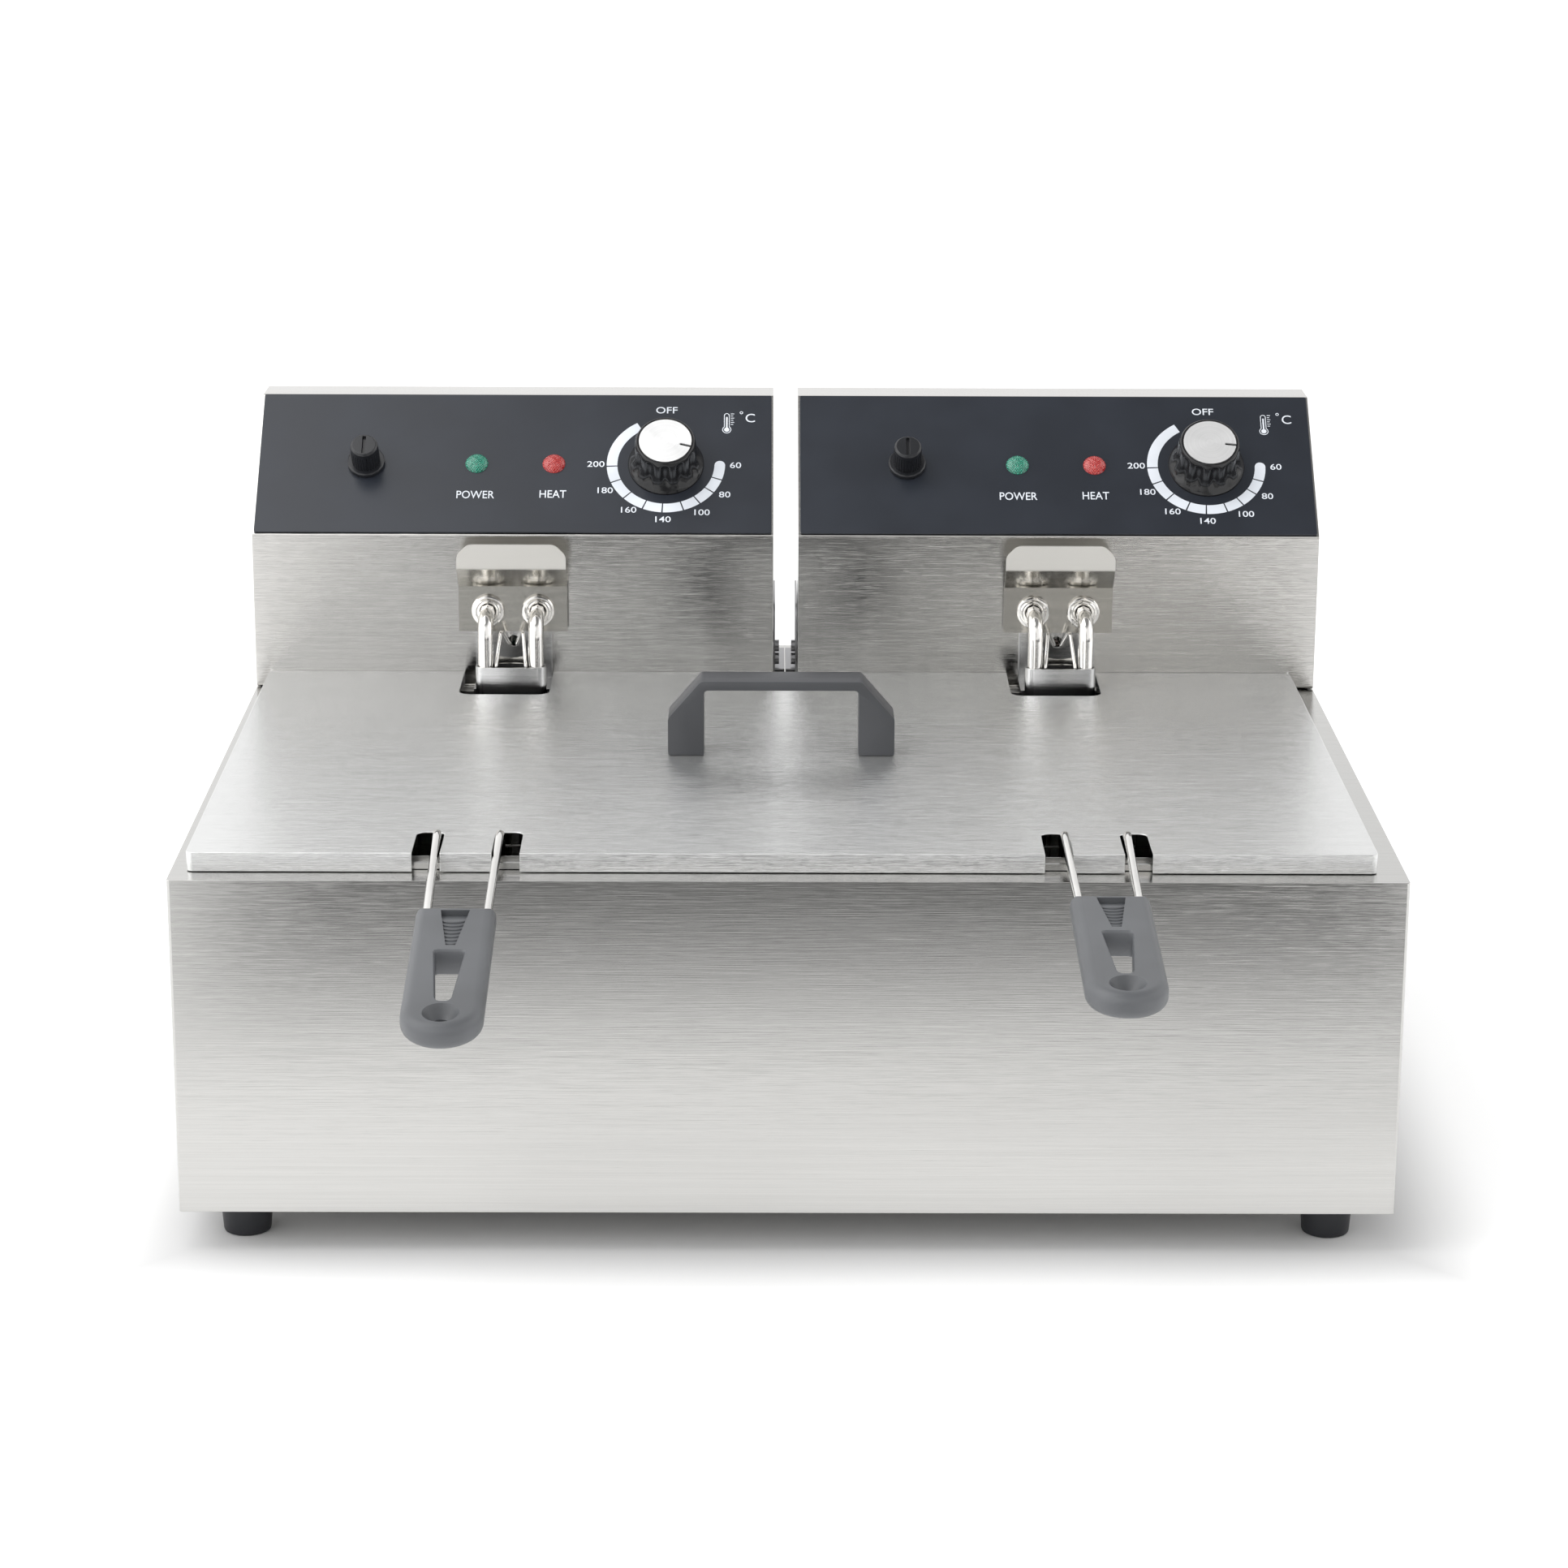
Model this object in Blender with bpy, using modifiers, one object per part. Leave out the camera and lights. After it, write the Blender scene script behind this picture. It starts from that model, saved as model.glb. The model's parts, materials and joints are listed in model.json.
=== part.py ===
"""Countertop double deep fryer: two tanks in one folded body, one lid, two control heads and two baskets.

Metres, +Z up, +X to the right and +Y to the back. The feet stand on z = 0, x = 0 is the middle of the body,
and y = 0 is halfway between the end of the longer basket handle and the end of the cable glands.
"""

import math

import bmesh
import bpy
from mathutils import Matrix, Vector

# Overall
BODY_WIDTH = 0.555
BODY_DEPTH = 0.430
BODY_HEIGHT = 0.1586
FOOT_HEIGHT = 0.019
SHEET = 0.0008
GAP = 0.0003
OVERCUT = 0.004
SIDES = {"left": -1, "right": 1}

# Feet
FOOT_INSET = 0.0275
FOOT_TOP_RADIUS = 0.013
FOOT_BOTTOM_RADIUS = 0.011

# Tanks, on the deck
TANK_SIDE_MARGIN = 0.0255
TANK_BACK_MARGIN = 0.019
TANK_DEPTH = 0.150
TANK_WALL = 0.0008
TANK_CORNER = 0.022
TANK_FRONT = 0.028
RIM_WIDTH = 0.011
RIM_HEIGHT = 0.0028
DECK_CLEARANCE = 0.0015

# Control heads: the section runs up the front face, back along the panel and over the top
HEAD_GAP = 0.013
HEAD_DEPTH = 0.093
HEAD_FRONT_HEIGHT = 0.0816
HEAD_HEIGHT = 0.1427
HEAD_TOP_DEPTH = 0.0248
HEAD_FOLD = 0.002
HEAD_HEEL = 0.006
COVER_FLANGE = 0.008
VENT_COUNT = 6
VENT_LENGTH = 0.044
VENT_WIDTH = 0.004

# Controls, across and up the panel from the middle of its lower edge
PANEL_SHEET = 0.001
PANEL_MARGIN = 0.001
CONTROL_ROW = 0.045
KNOB_X = 0.079
KNOB_RADIUS = 0.020
KNOB_GRIP_RADIUS = 0.0165
KNOB_HEIGHT = 0.022
KNOB_SKIRT = 0.005
KNOB_CAP_RADIUS = 0.0137
KNOB_CAP_SHEET = 0.0008
KNOB_TURN = {"left": 105, "right": 97}
SHAFT_RADIUS = 0.003
SHAFT_CLEARANCE = 0.0003
LAMP_X = {"green": -0.0203, "red": 0.0202}
LAMP_FLANGE_RADIUS = 0.0073
LAMP_DOME_RADIUS = 0.0052
LAMP_HEIGHT = 0.0045
FUSE_X = -0.0783
FUSE_FLANGE_RADIUS = 0.0098
FUSE_FLANGE = 0.003
FUSE_CAP_RADIUS = 0.0072
FUSE_CAP_HEIGHT = 0.0132
HOLE_CLEARANCE = 0.0006

# Heating element, its fittings and probes
TUBE_RADIUS = 0.004
TUBE_SPACING = 0.026
TUBE_BEND = 0.010
LEG_SETBACK = 0.011
TUBE_EXIT_HEIGHT = 0.0429
ELEMENT_RISE = 0.018
ELEMENT_REACH = 0.067
LOOP_CLEARANCE = 0.018
INNER_LOOP_HALF_WIDTH = 0.034
LOOP_BACK = 0.078
FITTING_RADIUS = 0.0085
FITTING_FLANGE = 0.0032
FITTING_BARREL_RADIUS = 0.0058
FITTING_LENGTH = 0.020
STRAP_SHEET = 0.0009
STRAP_HEIGHT = 0.027
STRAP_BOTTOM = -0.0076
CHANNEL_WIDTH = 0.0396
CHANNEL_TOP = 0.0314
CHANNEL_SHELF = 0.0055
CHANNEL_HOLE_RADIUS = 0.003
PROBE_RADIUS = 0.001
PROBE_BULB_RADIUS = 0.0022
PROBE_SPACING = 0.0035
PROBE_LOOP = (0.0056, 0.010)
PROBE_SPREAD = 0.0076
BULB_SPACING = 0.010
BULB_LENGTH = 0.060

# Basket hanger, a bent plate in front of each head
HANGER_WIDTH = 0.0565
HANGER_SHEET = 0.0015
HANGER_STANDOFF = 0.006
HANGER_BOTTOM = 0.0317
HANGER_BEND = 0.024
HANGER_POCKET = 0.0115
HANGER_LIP_FOOT = 0.0357
HANGER_LIP_TOP = 0.0487

# Side guides that flank each head and carry its rear hinge pins
GUIDE_LENGTH = 0.066
GUIDE_TOP = 0.0384
GUIDE_FOOT = 0.010
GUIDE_APRON = 0.030
GUIDE_CORNER = 0.008
PIN_RADIUS = 0.003
PIN_DEPTH = 0.003
BOLT_SETBACK = 0.050
BOLT_HEIGHTS = (0.0054, 0.0124)
BOLT_RADIUS = 0.0032
BOLT_HEAD = 0.0022

# Lid
LID_SIDE_MARGIN = 0.010
LID_FRONT = 0.0123
LID_SHEET = 0.0008
LID_SKIRT = 0.0089
LID_SHIFT = -0.0028
LID_CORNER = 0.003
SLOT_WIDTH = 0.0125
SLOT_LENGTH = 0.0327
SLOT_SPACING = 0.0358
NOTCH_WIDTH = 0.0463
NOTCH_DEPTH = 0.0474
NOTCH_CORNER = 0.006
LID_HANDLE_WIDTH = 0.110
LID_HANDLE_TOP = 0.078
LID_HANDLE_HEIGHT = 0.0369
LID_HANDLE_DEPTH = 0.020
LID_HANDLE_DROP = 0.0185
LID_HANDLE_LEG = 0.0174
LID_HANDLE_BAR = 0.0044
LID_HANDLE_Y = 0.1836

# Baskets and their handles
BASKET_SIDE_CLEARANCE = 0.010
BASKET_HEIGHT = 0.106
BASKET_WALL = 0.0015
BASKET_CORNER = 0.020
BASKET_FRONT_CLEARANCE = 0.027
BASKET_BACK_CLEARANCE = 0.035
BASKET_DROP = 0.0096
WIRE_RADIUS = 0.002
WIRE_SPACING = 0.0285
GRIP_WIRE_SPACING = 0.0264
WIRE_FOOT = 0.058
PEAK_Y = 0.031
PEAK_HEIGHT = 0.0101
PEAK_RISE = 0.0009
PEAK_BACK = 0.0096
HANDLE_SLOPE = {"left": 10.3, "right": 5.5}
HANDLE_OFFSET = {"left": -0.003, "right": -0.0025}
GRIP_START = 0.074
GRIP_LENGTH = 0.1075
GRIP_WIDTH = 0.035
GRIP_THICKNESS = 0.012
GRIP_EDGE = 0.0025
GRIP_BORE_DEPTH = 0.030
SLOT_TAPER = (0.0063, 0.0034)
GRIP_SLOT = (0.041, 0.084)
GRIP_HOLE = 0.0945
GRIP_HOLE_RADIUS = 0.0035
COUNTERSINK_RADIUS = 0.0076
COUNTERSINK_DEPTH = 0.008
RECESS = (0.005, 0.0365)
RECESS_WIDTHS = (0.0126, 0.0042)
RECESS_DEPTH = 0.0012

# Inside the heads
THERMOSTAT_SIZE = (0.044, 0.036, 0.026)
TERMINAL_SIZE = (0.060, 0.022, 0.020)
TERMINAL_X = -0.060
GLAND_X = -0.085
GLAND_HEIGHT = 0.030
GLAND_RADIUS = 0.009
GLAND_NUT_RADIUS = 0.012
GLAND_REACH = 0.010

# Places that follow from the sizes above
DECK = FOOT_HEIGHT + BODY_HEIGHT
HEAD_BASE = DECK + GAP + 0.0001
HEAD_WIDTH = (BODY_WIDTH - HEAD_GAP) / 2
HEAD_X = (HEAD_WIDTH + HEAD_GAP) / 2
TANK_WIDTH = HEAD_WIDTH - 2 * TANK_SIDE_MARGIN
TANK_LENGTH = BODY_DEPTH - HEAD_DEPTH - TANK_FRONT - TANK_BACK_MARGIN
BASKET_WIDTH = TANK_WIDTH - 2 * BASKET_SIDE_CLEARANCE
BASKET_LENGTH = TANK_LENGTH - BASKET_FRONT_CLEARANCE - BASKET_BACK_CLEARANCE
LID_WIDTH = BODY_WIDTH - 2 * LID_SIDE_MARGIN
HANDLE_X = {name: side * HEAD_X + HANDLE_OFFSET[name] for name, side in SIDES.items()}
HANDLE_REACH = (GRIP_START + GRIP_LENGTH) * math.cos(math.radians(min(HANDLE_SLOPE.values()))) - PEAK_Y
FRONT = (HANDLE_REACH - BODY_DEPTH - GLAND_REACH) / 2
BACK = FRONT + BODY_DEPTH
HEAD_FRONT = BACK - HEAD_DEPTH
PIVOT_Y = BACK - HEAD_HEEL
PIVOT_Z = HEAD_BASE + HEAD_HEEL
LID_TOP = DECK + GAP + LID_SKIRT
LID_BACK = HEAD_FRONT - 0.0005
TANK_Y = FRONT + TANK_FRONT
TANK_FLOOR = DECK - TANK_DEPTH
PANEL_RUN = HEAD_DEPTH - HEAD_TOP_DEPTH
PANEL_RISE = HEAD_HEIGHT - HEAD_FRONT_HEIGHT
PANEL_LENGTH = math.hypot(PANEL_RUN, PANEL_RISE)
PANEL_ANGLE = math.atan2(PANEL_RISE, PANEL_RUN)
LEG_Y = TANK_Y + TANK_LENGTH - LEG_SETBACK
CHANNEL_Y = LEG_Y + TUBE_RADIUS + STRAP_SHEET + 3 * GAP
TUBE_EXIT_Z = HEAD_BASE + TUBE_EXIT_HEIGHT
PROBE_EXIT_Z = HEAD_BASE + CHANNEL_TOP - 2 * CHANNEL_HOLE_RADIUS
HANGER_Y = HEAD_FRONT - HANGER_STANDOFF
BASKET_Y = TANK_Y + BASKET_FRONT_CLEARANCE
BASKET_TOP = DECK - BASKET_DROP

STEEL = ("stainless_steel", (0.62, 0.62, 0.62), 0.28, 1.0)
DULL_STEEL = ("dull_steel", (0.36, 0.36, 0.37), 0.42, 1.0)
BLACK_PANEL = ("black_panel", (0.035, 0.040, 0.050), 0.32, 0.0)
BLACK_GLOSS = ("black_gloss", (0.010, 0.010, 0.011), 0.16, 0.0)
GREY_PLASTIC = ("grey_plastic", (0.060, 0.062, 0.066), 0.55, 0.0)
BLACK_RUBBER = ("black_rubber", (0.020, 0.020, 0.020), 0.75, 0.0)
ALUMINIUM = ("aluminium", (0.74, 0.74, 0.74), 0.30, 1.0)
GREEN_LENS = ("green_lens", (0.05, 0.45, 0.16), 0.20, 0.0)
RED_LENS = ("red_lens", (0.60, 0.03, 0.02), 0.20, 0.0)
BRIGHT_WIRE = ("bright_wire", (0.60, 0.60, 0.60), 0.22, 1.0)
CERAMIC = ("ceramic", (0.72, 0.70, 0.64), 0.60, 0.0)

parts = bpy.data.collections.new("deep_fryer")
cutters = bpy.data.collections.new("deep_fryer_cutters")


# Outlines and frames

def arc(centre, radius, start, end, steps):
    """Points on an arc, its angles in degrees, both ends included."""
    angles = [math.radians(start + (end - start) * i / steps) for i in range(steps + 1)]
    return [(centre[0] + radius * math.cos(a), centre[1] + radius * math.sin(a)) for a in angles]


def circle(centre, radius, count=16):
    return arc(centre, radius, 0, 360, count)[:-1]


def rounded(corners, radius, steps=3):
    """The outline with each corner turned into an arc of the given radius, or of its own radius from a list."""
    radii = radius if isinstance(radius, (list, tuple)) else [radius] * len(corners)
    points = []
    for i, corner in enumerate(corners):
        here = Vector(corner)
        before = (Vector(corners[i - 1]) - here).normalized()
        after = (Vector(corners[(i + 1) % len(corners)]) - here).normalized()
        if radii[i] <= 0:
            points.append(tuple(here))
            continue
        half = before.angle(after) / 2
        centre = here + (before + after).normalized() * radii[i] / math.sin(half)
        first = here + before * radii[i] / math.tan(half) - centre
        last = here + after * radii[i] / math.tan(half) - centre
        turn = first.angle_signed(last)
        for k in range(steps + 1):
            spoke = Matrix.Rotation(-turn * k / steps, 2) @ first
            points.append(tuple(centre + spoke))
    return points


def rectangle(x0, x1, y0, y1):
    return [(x0, y0), (x1, y0), (x1, y1), (x0, y1)]


def inset(corners, distance):
    """A convex outline, listed anticlockwise, moved inwards by the distance on every side."""
    moved = []
    for i, corner in enumerate(corners):
        here = Vector(corner)
        before = (here - Vector(corners[i - 1])).normalized()
        after = (Vector(corners[(i + 1) % len(corners)]) - here).normalized()
        inward_before = Vector((-before.y, before.x))
        inward_after = Vector((-after.y, after.x))
        bisector = inward_before + inward_after
        moved.append(tuple(here + bisector * 2 * distance / bisector.length_squared))
    return moved


def smoothed(points, radius, steps=3):
    """A 3-D path whose inner corners are arcs of the given radius."""
    path = [Vector(points[0])]
    for before, here, after in zip(points, points[1:], points[2:]):
        here = Vector(here)
        back = (Vector(before) - here).normalized()
        ahead = (Vector(after) - here).normalized()
        half = back.angle(ahead) / 2
        reach = radius / math.tan(half)
        centre = here + (back + ahead).normalized() * radius / math.sin(half)
        first = here + back * reach - centre
        last = here + ahead * reach - centre
        for k in range(steps + 1):
            spoke = first.normalized().slerp(last.normalized(), k / steps)
            path.append(centre + spoke * radius)
    path.append(Vector(points[-1]))
    return path


def across(x, y=0.0, z=0.0):
    """A frame whose outline lies in world Y and Z, and whose thickness runs along X."""
    return Matrix.Translation((x, y, z)) @ Matrix(((0, 0, 1), (1, 0, 0), (0, 1, 0))).to_4x4()


def facing(x, y, z):
    """A frame whose outline lies in world X and Z, and whose thickness runs forward along -Y."""
    return Matrix.Translation((x, y, z)) @ Matrix.Rotation(math.pi / 2, 4, "X")


def level(x=0.0, y=0.0, z=0.0):
    return Matrix.Translation((x, y, z))


def on_panel(head_x, x, up):
    """A frame on the outer face of a head's control panel, +Z along its normal."""
    along = Matrix.Rotation(PANEL_ANGLE, 4, "X")
    corner = Matrix.Translation((head_x, HEAD_FRONT, HEAD_BASE + HEAD_FRONT_HEIGHT))
    return corner @ along @ Matrix.Translation((x, up, GAP + PANEL_SHEET))


# Objects

def material(spec):
    name, colour, roughness, metallic = spec
    made = bpy.data.materials.get(name)
    if made is None:
        made = bpy.data.materials.new(name)
        made.use_nodes = True
        shader = made.node_tree.nodes["Principled BSDF"]
        shader.inputs["Base Color"].default_value = (*colour, 1)
        shader.inputs["Roughness"].default_value = roughness
        shader.inputs["Metallic"].default_value = metallic
    return made


def keep(name, data, frame, spec):
    obj = bpy.data.objects.new(name, data)
    if spec is None:
        cutters.objects.link(obj)
        obj.hide_render = True
        obj.display_type = "WIRE"
    else:
        parts.objects.link(obj)
        data.materials.append(material(spec))
    obj.matrix_world = frame
    return obj


def meshed(obj, spec):
    """The object's evaluated shape as a mesh object with its loose caps welded."""
    bpy.context.view_layer.update()
    shape = obj.evaluated_get(bpy.context.evaluated_depsgraph_get())
    mesh = bpy.data.meshes.new_from_object(shape)
    work = bmesh.new()
    work.from_mesh(mesh)
    bmesh.ops.remove_doubles(work, verts=work.verts, dist=0.000001)
    work.to_mesh(mesh)
    work.free()
    mesh.materials.clear()
    name, frame = obj.name, obj.matrix_world.copy()
    bpy.data.objects.remove(obj)
    made = keep(name, mesh, frame, spec)
    mesh.shade_smooth()
    mesh.set_sharp_from_angle(angle=math.radians(35))
    return made


def curve(name, kind):
    data = bpy.data.curves.new(name, "CURVE")
    data.dimensions = kind
    return data


def plate(name, outlines, depth, frame, spec=None):
    """Flat outlines, the later ones holes in the first, given a thickness from the frame's origin up its +Z."""
    data = curve(name, "2D")
    data.fill_mode = "BOTH"
    data.extrude = depth / 2
    for outline in outlines:
        spline = data.splines.new("POLY")
        spline.points.add(len(outline) - 1)
        for point, (x, y) in zip(spline.points, outline):
            point.co = (x, y, 0, 1)
        spline.use_cyclic_u = True
    obj = keep(name, data, frame @ Matrix.Translation((0, 0, depth / 2)), spec or STEEL)
    return meshed(obj, spec)


def tube(name, path, radius, spec, radii=None, sides=2):
    """A round bar along the path, its ends capped."""
    data = curve(name, "3D")
    data.bevel_depth = radius
    data.bevel_resolution = sides
    data.use_fill_caps = True
    spline = data.splines.new("POLY")
    spline.points.add(len(path) - 1)
    for i, point in enumerate(path):
        spline.points[i].co = (*point, 1)
        spline.points[i].radius = radii[i] if radii else 1
    return meshed(keep(name, data, Matrix(), spec), spec)


def turned(name, profile, frame, spec=None, steps=16):
    """A solid of revolution about the frame's +Z, from (radius, height) points listed top to bottom."""
    mesh = bpy.data.meshes.new(name)
    points = [(r, 0, z) for r, z in profile]
    mesh.from_pydata(points, [(i, i + 1) for i in range(len(points) - 1)], [])
    obj = keep(name, mesh, frame, spec or STEEL)
    screw = obj.modifiers.new("turn", "SCREW")
    screw.steps = steps
    screw.render_steps = steps
    screw.use_merge_vertices = True
    screw.merge_threshold = 0.000002
    return meshed(obj, spec)


def cylinder(name, radius, low, high, frame, spec=None, count=16):
    """A round bar between two heights along the frame's +Z."""
    return turned(name, [(0, high), (radius, high), (radius, low), (0, low)], frame, spec, count)


def ring(name, outer, inner, low, high, frame, spec=None, count=16):
    profile = [(inner, high), (outer, high), (outer, low), (inner, low), (inner, high)]
    return turned(name, profile, frame, spec, count)


def block(name, low, high, spec=None, frame=None):
    """A box between two corners."""
    mesh = bpy.data.meshes.new(name)
    work = bmesh.new()
    bmesh.ops.create_cube(work, size=1)
    size = Vector(high) - Vector(low)
    bmesh.ops.scale(work, vec=size, verts=work.verts)
    bmesh.ops.translate(work, vec=(Vector(low) + Vector(high)) / 2, verts=work.verts)
    work.to_mesh(mesh)
    work.free()
    return keep(name, mesh, frame or Matrix(), spec)


def combine(obj, other, operation):
    boolean = obj.modifiers.new(other.name, "BOOLEAN")
    boolean.operation = operation
    boolean.solver = "EXACT"
    boolean.object = other


def cut(obj, cutter):
    combine(obj, cutter, "DIFFERENCE")


def join(obj, other):
    combine(obj, other, "UNION")


def round_edges(obj, width, angle=40, segments=2):
    bevel = obj.modifiers.new("edges", "BEVEL")
    bevel.width = width
    bevel.segments = segments
    bevel.limit_method = "ANGLE"
    bevel.angle_limit = math.radians(angle)
    bevel.harden_normals = False


def axis_empty(name, place):
    """The empty that a moving group hangs on, on its joint's axis."""
    empty = bpy.data.objects.new(name, None)
    parts.objects.link(empty)
    empty.empty_display_size = 0.02
    empty.location = place
    bpy.context.view_layer.update()
    return empty


def hang(objects, empty):
    bpy.context.view_layer.update()
    for obj in objects:
        obj.parent = empty
        obj.matrix_parent_inverse = empty.matrix_world.inverted()


# Body

def tank_outline(side, grow):
    half = TANK_WIDTH / 2 + grow
    x = side * HEAD_X
    corners = rectangle(x - half, x + half, TANK_Y - grow, TANK_Y + TANK_LENGTH + grow)
    return rounded(corners, TANK_CORNER + grow, 5)


def make_body():
    outer = rounded(rectangle(-BODY_WIDTH / 2, BODY_WIDTH / 2, FRONT, BACK), 0.0015, 2)
    shell = plate("body_shell", [outer], BODY_HEIGHT, level(z=FOOT_HEIGHT), STEEL)
    half = BODY_WIDTH / 2 - SHEET
    room = block("body_room", (-half, FRONT + SHEET, FOOT_HEIGHT - OVERCUT), (half, BACK - SHEET, DECK - SHEET))
    cut(shell, room)
    for name, side in SIDES.items():
        hole = tank_outline(side, TANK_WALL + DECK_CLEARANCE)
        cut(shell, plate(f"deck_opening_{name}", [hole], 4 * SHEET, level(z=DECK - 2 * SHEET)))


def make_base_plate():
    inner = inset(rectangle(-BODY_WIDTH / 2, BODY_WIDTH / 2, FRONT, BACK), SHEET + GAP)
    vents = []
    for i in range(VENT_COUNT):
        x = (i - (VENT_COUNT - 1) / 2) * 4 * VENT_WIDTH
        vents.append(rounded(rectangle(x, x + VENT_WIDTH, FRONT + 0.09, FRONT + 0.09 + VENT_LENGTH), 0.0015, 1))
    plate("base_plate", [inner, *vents], SHEET, level(z=FOOT_HEIGHT), DULL_STEEL)


def make_feet():
    profile = [(0, FOOT_HEIGHT - GAP), (FOOT_TOP_RADIUS, FOOT_HEIGHT - GAP), (FOOT_BOTTOM_RADIUS, 0), (0, 0)]
    for name, side in SIDES.items():
        for end, y in (("front", FRONT + FOOT_INSET), ("rear", BACK - FOOT_INSET)):
            frame = level(side * (BODY_WIDTH / 2 - FOOT_INSET), y)
            turned(f"foot_{end}_{name}", profile, frame, BLACK_RUBBER)


def make_tank(name, side):
    """A drawn tank that hangs by its rim on the deck, with a raised bead along the rim's edge."""
    body = plate(f"tank_{name}", [tank_outline(side, TANK_WALL)], TANK_DEPTH + RIM_HEIGHT,
                 level(z=TANK_FLOOR + GAP), STEEL)
    rim_z = DECK + GAP
    rim = plate(f"tank_rim_{name}", [tank_outline(side, RIM_WIDTH)], RIM_HEIGHT, level(z=rim_z))
    join(body, rim)
    trough = plate(f"tank_trough_{name}", [tank_outline(side, RIM_WIDTH - 0.002), tank_outline(side, TANK_WALL)],
                   RIM_HEIGHT, level(z=rim_z + TANK_WALL))
    cut(body, trough)
    room = plate(f"tank_room_{name}", [tank_outline(side, 0)], TANK_DEPTH + 0.02,
                 level(z=TANK_FLOOR + GAP + TANK_WALL))
    cut(body, room)


def make_guide(name, side, outer):
    """A plate beside a head, with the stub pin that the head turns on and two bolt heads."""
    out = side if outer else -side
    face = side * HEAD_X + out * (HEAD_WIDTH / 2 + GAP)
    low = DECK - GUIDE_APRON if outer else DECK + GAP
    front = BACK - GUIDE_LENGTH
    corners = rectangle(front, BACK - GAP, low, DECK + GUIDE_TOP)
    shape = rounded(corners, [0.001, 0.001, GUIDE_CORNER, GUIDE_CORNER])
    start = min(face, face + out * SHEET)
    where = "outer" if outer else "inner"
    label = f"head_guide_{name}_{where}"
    guide = plate(label, [shape], SHEET, across(start), DULL_STEEL)
    inward = Matrix.Rotation(-out * math.pi / 2, 4, "Y")
    pin = cylinder(f"{label}_pin", PIN_RADIUS, -SHEET / 2, PIN_DEPTH, level(face, PIVOT_Y, PIVOT_Z) @ inward)
    join(guide, pin)
    for i, height in enumerate(BOLT_HEIGHTS):
        place = level(face + out * SHEET, BACK - BOLT_SETBACK, DECK + height) @ inward
        join(guide, cylinder(f"{label}_bolt_{i}", BOLT_RADIUS, -BOLT_HEAD, SHEET / 2, place, count=12))
    if not outer:
        foot = sorted((face + out * SHEET / 2, face + out * (HEAD_GAP / 2 - 2 * GAP)))
        join(guide, block(f"{label}_foot", (foot[0], front + GUIDE_FOOT, low),
                          (foot[1], BACK - GUIDE_FOOT, low + SHEET)))


# Control heads

def head_section():
    """The head's outline in (y, z), anticlockwise from its lower front corner."""
    top = HEAD_BASE + HEAD_HEIGHT
    return [(HEAD_FRONT, HEAD_BASE), (BACK, HEAD_BASE), (BACK, top),
            (BACK - HEAD_TOP_DEPTH, top), (HEAD_FRONT, HEAD_BASE + HEAD_FRONT_HEIGHT)]


def make_head_shell(name, x):
    section = head_section()
    radii = [HEAD_FOLD, HEAD_HEEL, HEAD_FOLD, HEAD_FOLD, HEAD_FOLD]
    shell = plate(f"head_shell_{name}", [rounded(section, radii)], HEAD_WIDTH, across(x - HEAD_WIDTH / 2), STEEL)
    inner = rounded(inset(section, SHEET), [radius - SHEET for radius in radii])
    cut(shell, plate(f"head_room_{name}", [inner], HEAD_WIDTH - 2 * SHEET, across(x - HEAD_WIDTH / 2 + SHEET)))
    half = HEAD_WIDTH / 2 - COVER_FLANGE
    cut(shell, block(f"head_back_opening_{name}", (x - half, BACK - 2 * SHEET, HEAD_BASE + COVER_FLANGE),
                     (x + half, BACK + OVERCUT, HEAD_BASE + HEAD_HEIGHT - COVER_FLANGE)))
    for end in (-1, 1):
        place = level(x + end * HEAD_WIDTH / 2, PIVOT_Y, PIVOT_Z) @ Matrix.Rotation(math.pi / 2, 4, "Y")
        cut(shell, cylinder(f"head_pin_hole_{name}_{end}", PIN_RADIUS + HOLE_CLEARANCE, -OVERCUT, OVERCUT, place))
    for tube_x in (-TUBE_SPACING / 2, TUBE_SPACING / 2):
        place = facing(x + tube_x, HEAD_FRONT, TUBE_EXIT_Z)
        cut(shell, cylinder(f"head_tube_hole_{name}_{tube_x}", FITTING_BARREL_RADIUS + GAP, -OVERCUT, OVERCUT, place))
    place = facing(x, HEAD_FRONT, PROBE_EXIT_Z)
    cut(shell, cylinder(f"head_probe_hole_{name}", probe_hole_radius(), -OVERCUT, OVERCUT, place))
    for hole, hole_x, radius in panel_holes():
        place = on_panel(x, hole_x, CONTROL_ROW)
        cut(shell, cylinder(f"head_{hole}_hole_{name}", radius, -2 * OVERCUT, OVERCUT, place))


def probe_hole_radius():
    return PROBE_SPACING / 2 + PROBE_RADIUS + GAP


def panel_holes():
    """The holes that the head's slope and its panel share: a name, the place across and the radius."""
    holes = [("shaft", KNOB_X, SHAFT_RADIUS + HOLE_CLEARANCE), ("fuse", FUSE_X, fuse_barrel_radius() + HOLE_CLEARANCE)]
    holes += [(colour, x, LAMP_DOME_RADIUS + HOLE_CLEARANCE) for colour, x in LAMP_X.items()]
    return holes


def fuse_barrel_radius():
    return FUSE_CAP_RADIUS - 0.0012


def make_panel(name, x):
    half = HEAD_WIDTH / 2 - PANEL_MARGIN
    edge = rounded(rectangle(-half, half, PANEL_MARGIN, PANEL_LENGTH - PANEL_MARGIN), 0.0008, 2)
    holes = [circle((hole_x, CONTROL_ROW), radius) for _, hole_x, radius in panel_holes()]
    frame = on_panel(x, 0, 0) @ level(z=-PANEL_SHEET)
    return plate(f"control_panel_{name}", [edge, *holes], PANEL_SHEET, frame, BLACK_PANEL)


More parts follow.
